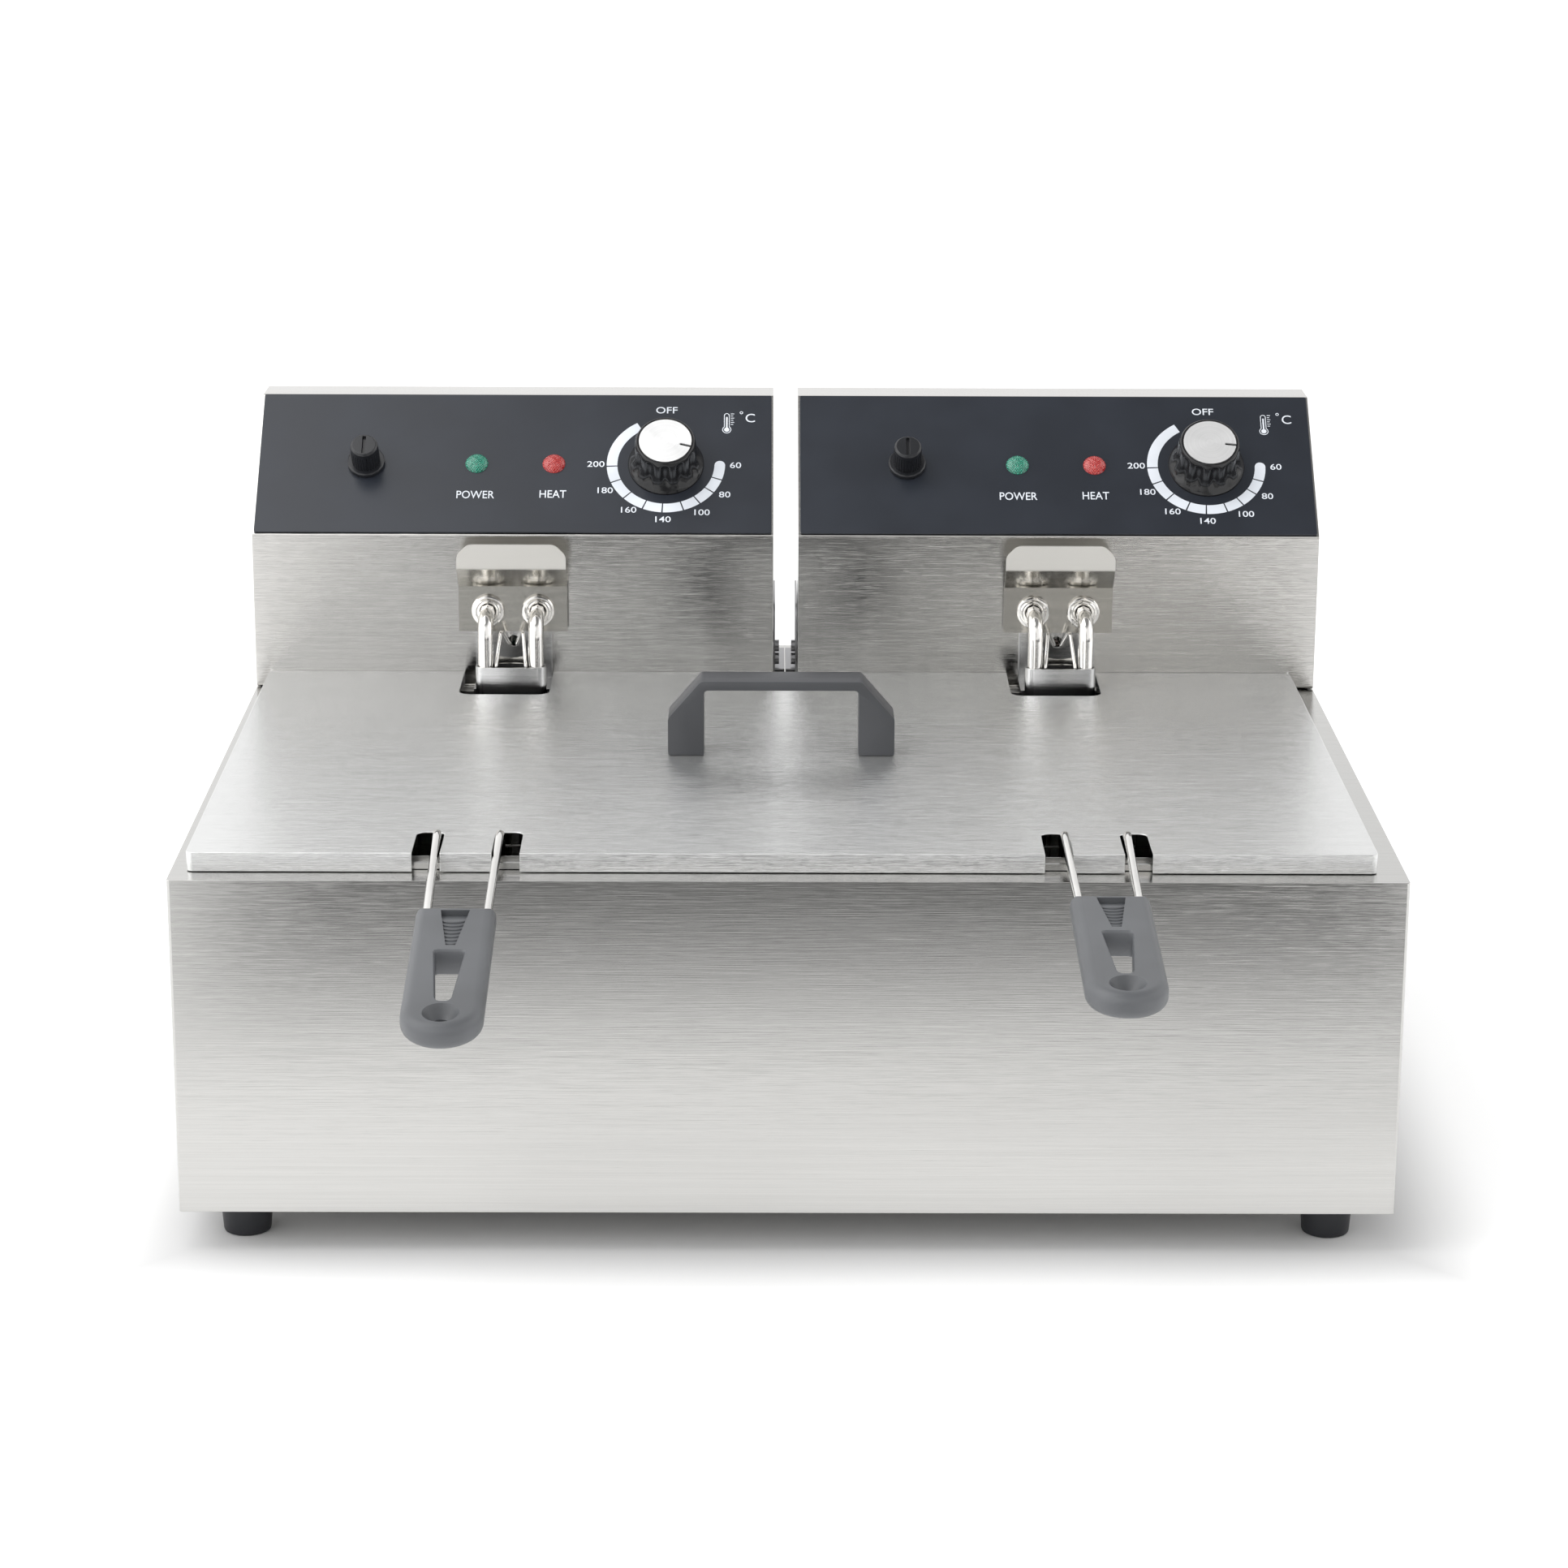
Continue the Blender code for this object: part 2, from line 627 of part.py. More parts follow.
def make_back_cover(name, x):
    half = HEAD_WIDTH / 2 - COVER_FLANGE - GAP
    low = COVER_FLANGE + GAP
    high = HEAD_HEIGHT - COVER_FLANGE - GAP
    edge = rectangle(-half, half, low, high)
    gland = circle((GLAND_X, GLAND_HEIGHT), GLAND_RADIUS + GAP)
    vents = []
    for i in range(VENT_COUNT):
        z = (low + high) / 2 + (i - (VENT_COUNT - 1) / 2) * 2 * VENT_WIDTH
        vents.append(rounded(rectangle(0, VENT_LENGTH, z, z + VENT_WIDTH), 0.0015, 1))
    return plate(f"back_cover_{name}", [edge, gland, *vents], SHEET, facing(x, BACK, HEAD_BASE), STEEL)


def make_gland(name, x):
    """A cable gland through the back cover, its nut outside."""
    outward = level(x + GLAND_X, BACK, HEAD_BASE + GLAND_HEIGHT) @ Matrix.Rotation(-math.pi / 2, 4, "X")
    bore = GLAND_RADIUS - 0.004
    profile = [(bore, GLAND_REACH), (GLAND_RADIUS, GLAND_REACH), (GLAND_NUT_RADIUS, GLAND_REACH - 0.003),
               (GLAND_NUT_RADIUS, GAP), (GLAND_RADIUS, GAP), (GLAND_RADIUS, -0.008), (bore, -0.008),
               (bore, GLAND_REACH)]
    return turned(f"cable_gland_{name}", profile, outward, BLACK_RUBBER)


def make_lamp(name, x, colour, spec):
    """A domed lens with its flange on the panel and its barrel through it."""
    rise = LAMP_HEIGHT - 0.0012
    dome = [(LAMP_DOME_RADIUS * math.sin(a), 0.0012 + rise * math.cos(a))
            for a in (math.pi / 2 * i / 5 for i in range(6))]
    profile = [*dome, (LAMP_FLANGE_RADIUS, 0.0012), (LAMP_FLANGE_RADIUS, GAP), (LAMP_DOME_RADIUS, GAP),
               (LAMP_DOME_RADIUS, -0.014), (0, -0.014)]
    return turned(f"lamp_{colour}_{name}", profile, on_panel(x, LAMP_X[colour], CONTROL_ROW), spec)


def make_fuse(name, x):
    """The holder's flanged barrel and the cap that turns a quarter to let the fuse out."""
    frame = on_panel(x, FUSE_X, CONTROL_ROW)
    barrel = fuse_barrel_radius()
    bore = barrel - 0.0016
    profile = [(bore, FUSE_FLANGE), (FUSE_FLANGE_RADIUS - 0.0006, FUSE_FLANGE), (FUSE_FLANGE_RADIUS, FUSE_FLANGE - 0.0006),
               (FUSE_FLANGE_RADIUS, GAP), (barrel, GAP), (barrel, -0.020), (0, -0.020), (0, -0.018), (bore, -0.018),
               (bore, FUSE_FLANGE)]
    holder = turned(f"fuse_holder_{name}", profile, frame, BLACK_GLOSS)
    low = FUSE_FLANGE + GAP
    top = low + FUSE_CAP_HEIGHT
    stem = bore - GAP - SHAFT_CLEARANCE
    cap_profile = [(0, top), (FUSE_CAP_RADIUS - 0.001, top), (FUSE_CAP_RADIUS, top - 0.001), (FUSE_CAP_RADIUS, low),
                   (stem, low), (stem, -0.010), (0, -0.010)]
    cap = turned(f"fuse_cap_{name}", cap_profile, frame, BLACK_GLOSS)
    slot = (FUSE_CAP_RADIUS * 0.75, 0.0009, 0.0016)
    cut(cap, block(f"fuse_slot_{name}", (-slot[1], -slot[0], top - slot[2]), (slot[1], slot[0], top + OVERCUT),
                   frame=frame))
    return holder, cap


def make_knob(name, x):
    """The dial, with a wide skirt, a pointer notch and a bore for the shaft, and the disc let into its top."""
    frame = on_panel(x, KNOB_X, CONTROL_ROW) @ Matrix.Rotation(math.radians(-KNOB_TURN[name]), 4, "Z")
    base = 0.0006
    bore = SHAFT_RADIUS + SHAFT_CLEARANCE
    seat = KNOB_HEIGHT - KNOB_CAP_SHEET - GAP
    profile = [(0, seat), (KNOB_CAP_RADIUS + GAP, seat), (KNOB_CAP_RADIUS + GAP, KNOB_HEIGHT),
               (KNOB_GRIP_RADIUS - 0.001, KNOB_HEIGHT), (KNOB_GRIP_RADIUS, KNOB_HEIGHT - 0.001),
               (KNOB_GRIP_RADIUS + 0.0008, KNOB_SKIRT + 0.003), (KNOB_RADIUS - 0.0006, KNOB_SKIRT),
               (KNOB_RADIUS, KNOB_SKIRT - 0.001), (KNOB_RADIUS, base), (bore, base), (bore, KNOB_HEIGHT / 2),
               (0, KNOB_HEIGHT / 2)]
    knob = turned(f"knob_{name}", profile, frame, BLACK_GLOSS, 24)
    notch = block(f"pointer_{name}", (-0.0012, KNOB_CAP_RADIUS + 0.001, KNOB_SKIRT + 0.004),
                  (0.0012, KNOB_RADIUS, KNOB_HEIGHT + OVERCUT), frame=frame)
    cut(knob, notch)
    cap = cylinder(f"knob_cap_{name}", KNOB_CAP_RADIUS, seat + GAP, KNOB_HEIGHT, frame, ALUMINIUM, 24)
    return knob, cap


def make_thermostat(name, x):
    frame = on_panel(x, KNOB_X, CONTROL_ROW)
    wide, tall, deep = THERMOSTAT_SIZE
    face = -(PANEL_SHEET + SHEET + 4 * GAP)
    box = block(f"thermostat_{name}", (-wide / 2, -tall / 2, face - deep), (wide / 2, tall / 2, face), DULL_STEEL, frame)
    join(box, cylinder(f"thermostat_shaft_{name}", SHAFT_RADIUS, face - 0.002, KNOB_HEIGHT / 2 - 2 * GAP, frame))
    return box


def make_terminal_block(name, x):
    wide, deep, tall = TERMINAL_SIZE
    low = HEAD_BASE + SHEET + GAP
    y = HEAD_FRONT + HEAD_DEPTH / 2
    return block(f"terminal_block_{name}", (x + TERMINAL_X - wide / 2, y - deep / 2, low),
                 (x + TERMINAL_X + wide / 2, y + deep / 2, low + tall), CERAMIC)


def make_element(name, x):
    """One bent tube: out of the head, down the back of the tank, twice forward and back along its floor."""
    outer = TANK_WIDTH / 2 - LOOP_CLEARANCE
    inner = INNER_LOOP_HALF_WIDTH
    leg = TUBE_SPACING / 2
    low = TANK_FLOOR + ELEMENT_RISE
    front = TANK_Y + ELEMENT_REACH
    start = HEAD_FRONT + FITTING_LENGTH / 2
    half = [(leg, start, TUBE_EXIT_Z), (leg, LEG_Y, TUBE_EXIT_Z), (leg, LEG_Y, low), (leg, LEG_Y - 0.022, low),
            (outer, LEG_Y - 0.036, low), (outer, front, low), (inner, front, low), (inner, LEG_Y - LOOP_BACK, low)]
    points = [(x - px, py, pz) for px, py, pz in half] + [(x + px, py, pz) for px, py, pz in reversed(half)]
    return tube(f"heating_element_{name}", smoothed(points, TUBE_BEND), TUBE_RADIUS, BRIGHT_WIRE)


def make_fittings(name, x):
    """The two flanged nipples that clamp the hanger to the head and let the element's tube through."""
    made = []
    high = HANGER_STANDOFF + GAP + FITTING_FLANGE
    for place, offset in (("left", -TUBE_SPACING / 2), ("right", TUBE_SPACING / 2)):
        bore = TUBE_RADIUS + GAP
        profile = [(bore, high), (FITTING_BARREL_RADIUS + 0.0005, high), (FITTING_RADIUS, high - 0.0012),
                   (FITTING_RADIUS, high - FITTING_FLANGE), (FITTING_BARREL_RADIUS, high - FITTING_FLANGE),
                   (FITTING_BARREL_RADIUS, high - FITTING_LENGTH), (bore, high - FITTING_LENGTH), (bore, high)]
        frame = facing(x + offset, HEAD_FRONT, TUBE_EXIT_Z)
        made.append(turned(f"element_fitting_{name}_{place}", profile, frame, BRIGHT_WIRE))
    return made


def make_strap(name, x):
    """A flat band round the two legs of the element."""
    half = TUBE_SPACING / 2 + TUBE_RADIUS + GAP
    depth = TUBE_RADIUS + GAP
    inner = rounded(rectangle(-half, half, -depth, depth), depth * 0.9)
    outer = rounded(rectangle(-half - STRAP_SHEET, half + STRAP_SHEET, -depth - STRAP_SHEET, depth + STRAP_SHEET),
                    depth * 0.9 + STRAP_SHEET)
    return plate(f"element_strap_{name}", [outer, inner], STRAP_HEIGHT, level(x, LEG_Y, HEAD_BASE + STRAP_BOTTOM),
                 STEEL)


def make_channel(name, x):
    """The bent plate that holds the legs: down the head's front, forward over the tank's rim and down the tank."""
    low = TANK_FLOOR + ELEMENT_RISE + 0.016
    shelf = HEAD_BASE + CHANNEL_SHELF
    top = HEAD_BASE + CHANNEL_TOP
    face = HEAD_FRONT - GAP
    section = [(CHANNEL_Y, low), (CHANNEL_Y + SHEET, low), (CHANNEL_Y + SHEET, shelf - SHEET), (face, shelf - SHEET),
               (face, top), (face - SHEET, top), (face - SHEET, shelf), (CHANNEL_Y, shelf)]
    half = CHANNEL_WIDTH / 2
    channel = plate(f"element_channel_{name}", [section], CHANNEL_WIDTH, across(x - half), STEEL)
    hole = facing(x, face, top - 2 * CHANNEL_HOLE_RADIUS)
    cut(channel, cylinder(f"channel_hole_{name}", CHANNEL_HOLE_RADIUS, -OVERCUT, OVERCUT, hole))
    return channel


def make_probe(name, x, kind, hand):
    """A capillary from the head that ends in its bulb between the element's legs."""
    exit_z = PROBE_EXIT_Z
    bulb_top = TANK_FLOOR + TANK_DEPTH - 0.045
    bulb_low = bulb_top - BULB_LENGTH
    near = x + hand * PROBE_SPACING / 2
    far = x + hand * BULB_SPACING / 2
    out, rise = PROBE_LOOP
    loop = (x + hand * out, HANGER_Y - 0.010, exit_z + rise)
    wide = x + hand * PROBE_SPREAD
    lead = smoothed([(near, HEAD_FRONT + 0.010, exit_z), (near, HANGER_Y - 0.002, exit_z), loop,
                     (wide, LEG_Y, exit_z - 0.006), (wide, LEG_Y, bulb_top + 0.030), (far, LEG_Y, bulb_top + 0.004)],
                    0.003)
    bulb = [(far, LEG_Y, bulb_top), (far, LEG_Y, bulb_top - 0.003), (far, LEG_Y, bulb_low + 0.002),
            (far, LEG_Y, bulb_low)]
    thick = PROBE_BULB_RADIUS / PROBE_RADIUS
    radii = [1] * len(lead) + [1, thick, thick, thick * 0.6]
    return tube(f"{kind}_probe_{name}", [*lead, *bulb], PROBE_RADIUS, BRIGHT_WIRE, radii)


def make_hanger(name, x):
    """A bent plate in front of the head whose upturned lip takes the basket's back wire."""
    low = HEAD_BASE + HANGER_BOTTOM
    bend = low + HANGER_BEND
    lip_foot = low + HANGER_LIP_FOOT
    lip_top = low + HANGER_LIP_TOP
    out = HANGER_Y - HANGER_POCKET
    sheet = HANGER_SHEET
    section = [(HANGER_Y, low), (HANGER_Y + sheet, low), (HANGER_Y + sheet, bend + sheet * 0.4),
               (out + sheet, lip_foot + sheet * 0.4), (out + sheet * 0.8, lip_top), (out - sheet * 0.2, lip_top),
               (out, lip_foot), (HANGER_Y, bend)]
    hanger = plate(f"basket_hanger_{name}", [section], HANGER_WIDTH, across(x - HANGER_WIDTH / 2), STEEL)
    for end in (-1, 1):
        edge = HANGER_WIDTH / 2 - GAP
        edges = sorted((x + end * edge, x + end * (edge - sheet)))
        join(hanger, block(f"hanger_side_{name}_{end}", (edges[0], HANGER_Y + sheet / 2, low + GAP),
                           (edges[1], HEAD_FRONT - GAP, bend - GAP)))
        corner = block(f"hanger_corner_{name}_{end}", (-0.004, -OVERCUT, -0.004), (0.004, OVERCUT, 0.004))
        corner.matrix_world = level(x + end * HANGER_WIDTH / 2, out + sheet / 2, lip_top) @ Matrix.Rotation(
            math.pi / 4, 4, "Y")
        cut(hanger, corner)
    for tube_x in (-TUBE_SPACING / 2, TUBE_SPACING / 2):
        place = facing(x + tube_x, HANGER_Y, TUBE_EXIT_Z)
        cut(hanger, cylinder(f"hanger_hole_{name}_{tube_x}", FITTING_BARREL_RADIUS + GAP, -OVERCUT, OVERCUT, place))
    return hanger


def make_head(name, side):
    x = side * HEAD_X
    make_head_shell(name, x)
    knob, knob_cap = make_knob(name, x)
    holder, fuse_cap = make_fuse(name, x)
    fixed = [bpy.data.objects[f"head_shell_{name}"], make_panel(name, x), make_back_cover(name, x),
             make_gland(name, x), make_lamp(name, x, "green", GREEN_LENS), make_lamp(name, x, "red", RED_LENS),
             holder, make_thermostat(name, x), make_terminal_block(name, x), make_element(name, x),
             *make_fittings(name, x), make_strap(name, x), make_channel(name, x),
             make_probe(name, x, "thermostat", -1), make_probe(name, x, "limiter", 1), make_hanger(name, x)]
    axis = axis_empty(f"head_axis_{name}", (x, PIVOT_Y, PIVOT_Z))
    hang([*fixed, knob, knob_cap, fuse_cap], axis)


# Lid

def make_lid():
    front = FRONT + LID_FRONT
    half = LID_WIDTH / 2
    corners = rectangle(-half, half, front, LID_BACK)
    low = LID_TOP - LID_SKIRT
    lid = plate("lid", [rounded(corners, LID_CORNER)], LID_SKIRT, level(LID_SHIFT, 0, low), STEEL)
    inner = rounded(inset(corners, LID_SHEET), LID_CORNER - LID_SHEET)
    cut(lid, plate("lid_room", [inner], LID_SKIRT, level(LID_SHIFT, 0, low - LID_SHEET)))
    for name, side in SIDES.items():
        for hand in (-1, 1):
            x = LID_SHIFT + side * HEAD_X + hand * SLOT_SPACING / 2
            edge = [(x - SLOT_WIDTH / 2, front - OVERCUT), (x + SLOT_WIDTH / 2, front - OVERCUT),
                    (x + SLOT_WIDTH / 2, front + SLOT_LENGTH), (x - SLOT_WIDTH / 2, front + SLOT_LENGTH)]
            slot = rounded(edge, [0, 0, SLOT_WIDTH * 0.3, SLOT_WIDTH * 0.3])
            cut(lid, plate(f"lid_slot_{name}_{hand}", [slot], 2 * LID_SKIRT, level(z=low - LID_SKIRT / 2)))
        x = LID_SHIFT + side * HEAD_X
        edge = rectangle(x - NOTCH_WIDTH / 2, x + NOTCH_WIDTH / 2, LID_BACK - NOTCH_DEPTH, LID_BACK + OVERCUT)
        notch = rounded(edge, [NOTCH_CORNER, NOTCH_CORNER, 0, 0])
        cut(lid, plate(f"lid_notch_{name}", [notch], 2 * LID_SKIRT, level(z=low - LID_SKIRT / 2)))
    return lid


def make_lid_handle():
    """A bridge handle: two legs, sloping shoulders and a flat bar."""
    half = LID_HANDLE_WIDTH / 2
    top = LID_HANDLE_TOP / 2
    shoulder = LID_HANDLE_HEIGHT - LID_HANDLE_DROP
    hole = half - LID_HANDLE_LEG
    hole_top = LID_HANDLE_HEIGHT - LID_HANDLE_BAR
    edge = [(half, 0), (half, shoulder), (top, LID_HANDLE_HEIGHT), (-top, LID_HANDLE_HEIGHT), (-half, shoulder),
            (-half, 0), (-hole, 0), (-hole, hole_top), (hole, hole_top), (hole, 0)]
    frame = facing(LID_SHIFT, FRONT + LID_HANDLE_Y + LID_HANDLE_DEPTH / 2, LID_TOP + GAP)
    radii = [0.0012, 0.003, 0.003, 0.003, 0.003, 0.0012, 0.0005, 0.002, 0.002, 0.0005]
    handle = plate("lid_handle", [rounded(edge, radii, 3)], LID_HANDLE_DEPTH, frame, GREY_PLASTIC)
    round_edges(handle, 0.0008, angle=60)
    return handle


# Baskets

def basket_outline(side, grow):
    half = BASKET_WIDTH / 2 + grow
    x = side * HEAD_X
    corners = rectangle(x - half, x + half, BASKET_Y - grow, BASKET_Y + BASKET_LENGTH + grow)
    return rounded(corners, BASKET_CORNER + grow, 5)


def make_basket(name, side):
    low = BASKET_TOP - BASKET_HEIGHT
    basket = plate(f"basket_{name}", [basket_outline(side, 0)], BASKET_HEIGHT, level(z=low), BRIGHT_WIRE)
    cut(basket, plate(f"basket_room_{name}", [basket_outline(side, -BASKET_WALL)], BASKET_HEIGHT,
                      level(z=low + BASKET_WALL)))
    return basket


def handle_frame(name):
    """A frame at the handle's peak, whose -Y runs down the rods to the grip."""
    peak = level(HANDLE_X[name], FRONT + PEAK_Y, DECK + PEAK_HEIGHT)
    return peak @ Matrix.Rotation(math.radians(HANDLE_SLOPE[name]), 4, "X")


def make_handle_wire(name):
    """One wire: both rods of the handle, over the peak and joined across the basket's front."""
    frame = handle_frame(name)
    wall_y = BASKET_Y - WIRE_RADIUS - GAP
    end = frame @ Vector((0, -(GRIP_START + GRIP_BORE_DEPTH - 0.003), 0))
    mouth = frame @ Vector((0, -(GRIP_START - 0.001), 0))
    peak = frame @ Vector((0, 0, 0))
    crest = DECK + PEAK_HEIGHT + PEAK_RISE
    half = [(peak.y, peak.z), (peak.y + 0.005, crest), (FRONT + PEAK_Y + 0.0078, crest - 0.0009),
            (FRONT + PEAK_Y + PEAK_BACK, DECK + PEAK_HEIGHT - 0.0026),
            (FRONT + PEAK_Y + PEAK_BACK, DECK + 0.004), (wall_y - 0.003, BASKET_TOP + 0.001),
            (wall_y, BASKET_TOP - 0.005), (wall_y, BASKET_TOP - WIRE_FOOT + 0.006)]
    x = HANDLE_X[name]
    spread = WIRE_SPACING / 2
    narrow = GRIP_WIRE_SPACING / 2
    left = [Vector((x - narrow, end.y, end.z)), Vector((x - narrow, mouth.y, mouth.z))]
    right = [Vector((x + narrow, end.y, end.z)), Vector((x + narrow, mouth.y, mouth.z))]
    left += [Vector((x - spread, y, z)) for y, z in half]
    right += [Vector((x + spread, y, z)) for y, z in half]
    corner = [(x - spread, wall_y, BASKET_TOP - WIRE_FOOT + 0.006), (x - spread, wall_y, BASKET_TOP - WIRE_FOOT),
              (x + spread, wall_y, BASKET_TOP - WIRE_FOOT), (x + spread, wall_y, BASKET_TOP - WIRE_FOOT + 0.006)]
    across_front = smoothed(corner, 0.005)[1:-1]
    return tube(f"handle_wire_{name}", [*left, *across_front, *reversed(right)], WIRE_RADIUS, BRIGHT_WIRE)


def make_grip(name):
    """A moulded grip on the rods, with a thumb recess, a tapered slot and a hanging hole."""
    half = GRIP_WIDTH / 2
    end = GRIP_LENGTH
    nose = arc((0, -(end - half)), half, 180, 360, 12)
    body = [(half, -0.003), (half - 0.003, 0), (-half + 0.003, 0), (-half, -0.003)]
    wide, narrow = SLOT_TAPER
    near, far = GRIP_SLOT
    slot = rounded([(-wide, -near), (-narrow, -far), (narrow, -far), (wide, -near)], [0.004, 0.003, 0.003, 0.004])
    hole = circle((0, -GRIP_HOLE), GRIP_HOLE_RADIUS, 16)
    frame = handle_frame(name) @ level(0, -GRIP_START, -GRIP_THICKNESS / 2)
    grip = plate(f"basket_grip_{name}", [[*nose, *body], slot, hole], GRIP_THICKNESS, frame, GREY_PLASTIC)
    round_edges(grip, GRIP_EDGE, angle=60)
    for hand in (-1, 1):
        place = frame @ level(hand * GRIP_WIRE_SPACING / 2, 0, GRIP_THICKNESS / 2) @ Matrix.Rotation(math.pi / 2, 4, "X")
        cut(grip, cylinder(f"grip_bore_{name}_{hand}", WIRE_RADIUS + GAP, -OVERCUT, GRIP_BORE_DEPTH, place, count=12))
    top = GRIP_THICKNESS + GAP
    sink = [(0, top), (COUNTERSINK_RADIUS, top), (GRIP_HOLE_RADIUS, top - COUNTERSINK_DEPTH), (0, top - COUNTERSINK_DEPTH)]
    cut(grip, turned(f"grip_countersink_{name}", sink, frame @ level(0, -GRIP_HOLE)))
    start, stop = RECESS
    wide, narrow = RECESS_WIDTHS
    edge = [(-wide / 2, -start), (-narrow / 2, -stop), (narrow / 2, -stop), (wide / 2, -start)]
    cut(grip, plate(f"grip_recess_{name}", [edge], OVERCUT, frame @ level(z=GRIP_THICKNESS - RECESS_DEPTH)))
    return grip


def main():
    for obj in list(bpy.data.objects):
        bpy.data.objects.remove(obj)
    for group in (parts, cutters):
        bpy.context.scene.collection.children.link(group)
    make_body()
    make_base_plate()
    make_feet()
    for name, side in SIDES.items():
        make_tank(name, side)
        make_guide(name, side, True)
        make_guide(name, side, False)
        make_head(name, side)
        lift = axis_empty(f"basket_lift_{name}", (HANDLE_X[name], BASKET_Y, BASKET_TOP))
        hang([make_basket(name, side), make_handle_wire(name), make_grip(name)], lift)
    hang([make_lid(), make_lid_handle()], axis_empty("lid_lift", (LID_SHIFT, FRONT + LID_HANDLE_Y, LID_TOP)))


main()
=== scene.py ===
import json
import math

import bmesh
import bpy
import numpy as np
from mathutils import Matrix, Vector


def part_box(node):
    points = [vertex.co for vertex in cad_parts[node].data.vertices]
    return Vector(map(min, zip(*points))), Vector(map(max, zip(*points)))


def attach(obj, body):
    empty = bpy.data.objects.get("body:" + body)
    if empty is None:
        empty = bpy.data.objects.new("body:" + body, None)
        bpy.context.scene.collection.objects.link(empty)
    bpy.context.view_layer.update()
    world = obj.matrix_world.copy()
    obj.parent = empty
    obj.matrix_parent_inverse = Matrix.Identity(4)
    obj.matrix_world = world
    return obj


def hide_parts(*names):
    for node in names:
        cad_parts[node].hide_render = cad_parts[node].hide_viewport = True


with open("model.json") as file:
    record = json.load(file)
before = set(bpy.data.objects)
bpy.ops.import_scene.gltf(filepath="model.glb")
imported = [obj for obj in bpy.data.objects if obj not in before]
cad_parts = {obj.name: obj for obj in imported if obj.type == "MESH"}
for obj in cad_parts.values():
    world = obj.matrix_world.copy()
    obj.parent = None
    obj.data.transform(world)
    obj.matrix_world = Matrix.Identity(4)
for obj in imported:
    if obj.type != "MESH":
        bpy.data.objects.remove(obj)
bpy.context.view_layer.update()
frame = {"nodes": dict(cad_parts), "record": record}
nodes = frame["nodes"]
bodyMembers = frame["record"]["behaviour"]["bodies"]
bodyOf = {node: body for body, members in bodyMembers.items() for node in members}
sides = ("left", "right")
print("frame loaded:", len(nodes), "nodes")


# node trees written as expressions

class Socket:
    def __init__(self, tree, link=None):
        self.tree = tree
        self.link = link

    def node(self, kind, settings=None, inputs=None, out=0):
        made = self.tree.nodes.new(kind)
        for name, value in (settings or {}).items():
            setattr(made, name, value)
        for key, value in (inputs or {}).items():
            for one in value if isinstance(value, list) else [value]:
                if isinstance(one, Socket):
                    self.tree.links.new(one.link, made.inputs[key])
                else:
                    made.inputs[key].default_value = one
        return Socket(self.tree, made.outputs[out]) if len(made.outputs) else Socket(self.tree)

    def math(self, operation, *values):
        inputs = {at: value for at, value in enumerate((self, *values))}
        return self.node("ShaderNodeMath", {"operation": operation}, inputs)

    def __add__(self, other):
        return self.math("ADD", other)

    def __mul__(self, other):
        return self.math("MULTIPLY", other)

    def __sub__(self, other):
        return self.math("SUBTRACT", other)

    def __rsub__(self, other):
        return self.node("ShaderNodeMath", {"operation": "SUBTRACT"}, {0: other, 1: self})

    def __truediv__(self, other):
        return self.math("DIVIDE", other)

    __radd__ = __add__
    __rmul__ = __mul__

    def between(self, low, high, to=(0.0, 1.0)):
        inputs = {0: self, 1: low, 2: high, 3: to[0], 4: to[1]}
        return self.node("ShaderNodeMapRange", {"interpolation_type": "SMOOTHSTEP"}, inputs)

    def vector(self, operation, *values, out=0):
        inputs = {at: value for at, value in enumerate((self, *values))}
        return self.node("ShaderNodeVectorMath", {"operation": operation}, inputs, out)

    def tint(self, low, high):
        inputs = {0: self, 6: low if isinstance(low, Socket) else (*low, 1), 7: (*high, 1)}
        return self.node("ShaderNodeMix", {"data_type": "RGBA"}, inputs, out=2)


def newFinish(name):
    finish = bpy.data.materials.new(name)
    finish.use_nodes = True
    finish.node_tree.nodes.clear()
    tree = Socket(finish.node_tree)
    return finish, tree, tree.node("ShaderNodeTexCoord", out="Object")


def close(tree, inputs):
    shader = tree.node("ShaderNodeBsdfPrincipled", None, inputs)
    tree.node("ShaderNodeOutputMaterial", None, {0: shader})


def noise(place, scale, detail=2.0, rough=0.5):
    inputs = {"Vector": place, "Scale": scale, "Detail": detail, "Roughness": rough}
    return place.node("ShaderNodeTexNoise", None, inputs)


def bump(height, distance):
    return height.node("ShaderNodeBump", None, {"Height": height, "Distance": distance, "Strength": 1.0})


# finishes

steelLooks = {
    "bodySteel": {"tint": (0.57, 0.565, 0.55), "rough": 0.09, "grain": 3.6e-5,
                  "across": 5000, "along": 22, "stain": 0.03},
    "lidSteel": {"tint": (0.78, 0.785, 0.78), "metal": 0.8, "rough": 0.06, "grain": 1.2e-4,
                 "across": 5000, "along": 22, "stain": 0.02},
    "headSteel": {"tint": (0.64, 0.63, 0.61), "rough": 0.07, "grain": 3.6e-5,
                  "across": 5000, "along": 22, "stain": 0.03},
    "bracketSteel": {"tint": (0.50, 0.485, 0.45), "rough": 0.16, "grain": 1.2e-5,
                     "across": 1200, "along": 60, "stain": 0.04,
                     "matt": 0.4, "pale": 0.26},
    "strapSteel": {"tint": (0.60, 0.60, 0.60), "rough": 0.2, "grain": 5.0e-5,
                   "across": 2600, "along": 30, "stain": 0.05},
    "tankSteel": {"tint": (0.62, 0.615, 0.60), "rough": 0.26, "grain": 2.5e-5,
                  "across": 900, "along": 60, "stain": 0.1},
    # a darker copy of the steel: painted shade for the guide plates, which sit in shadow
    "guideSteel": {"tint": (0.34, 0.34, 0.35), "rough": 0.3, "grain": 3.0e-5,
                   "across": 1500, "along": 60, "stain": 0.1},
}


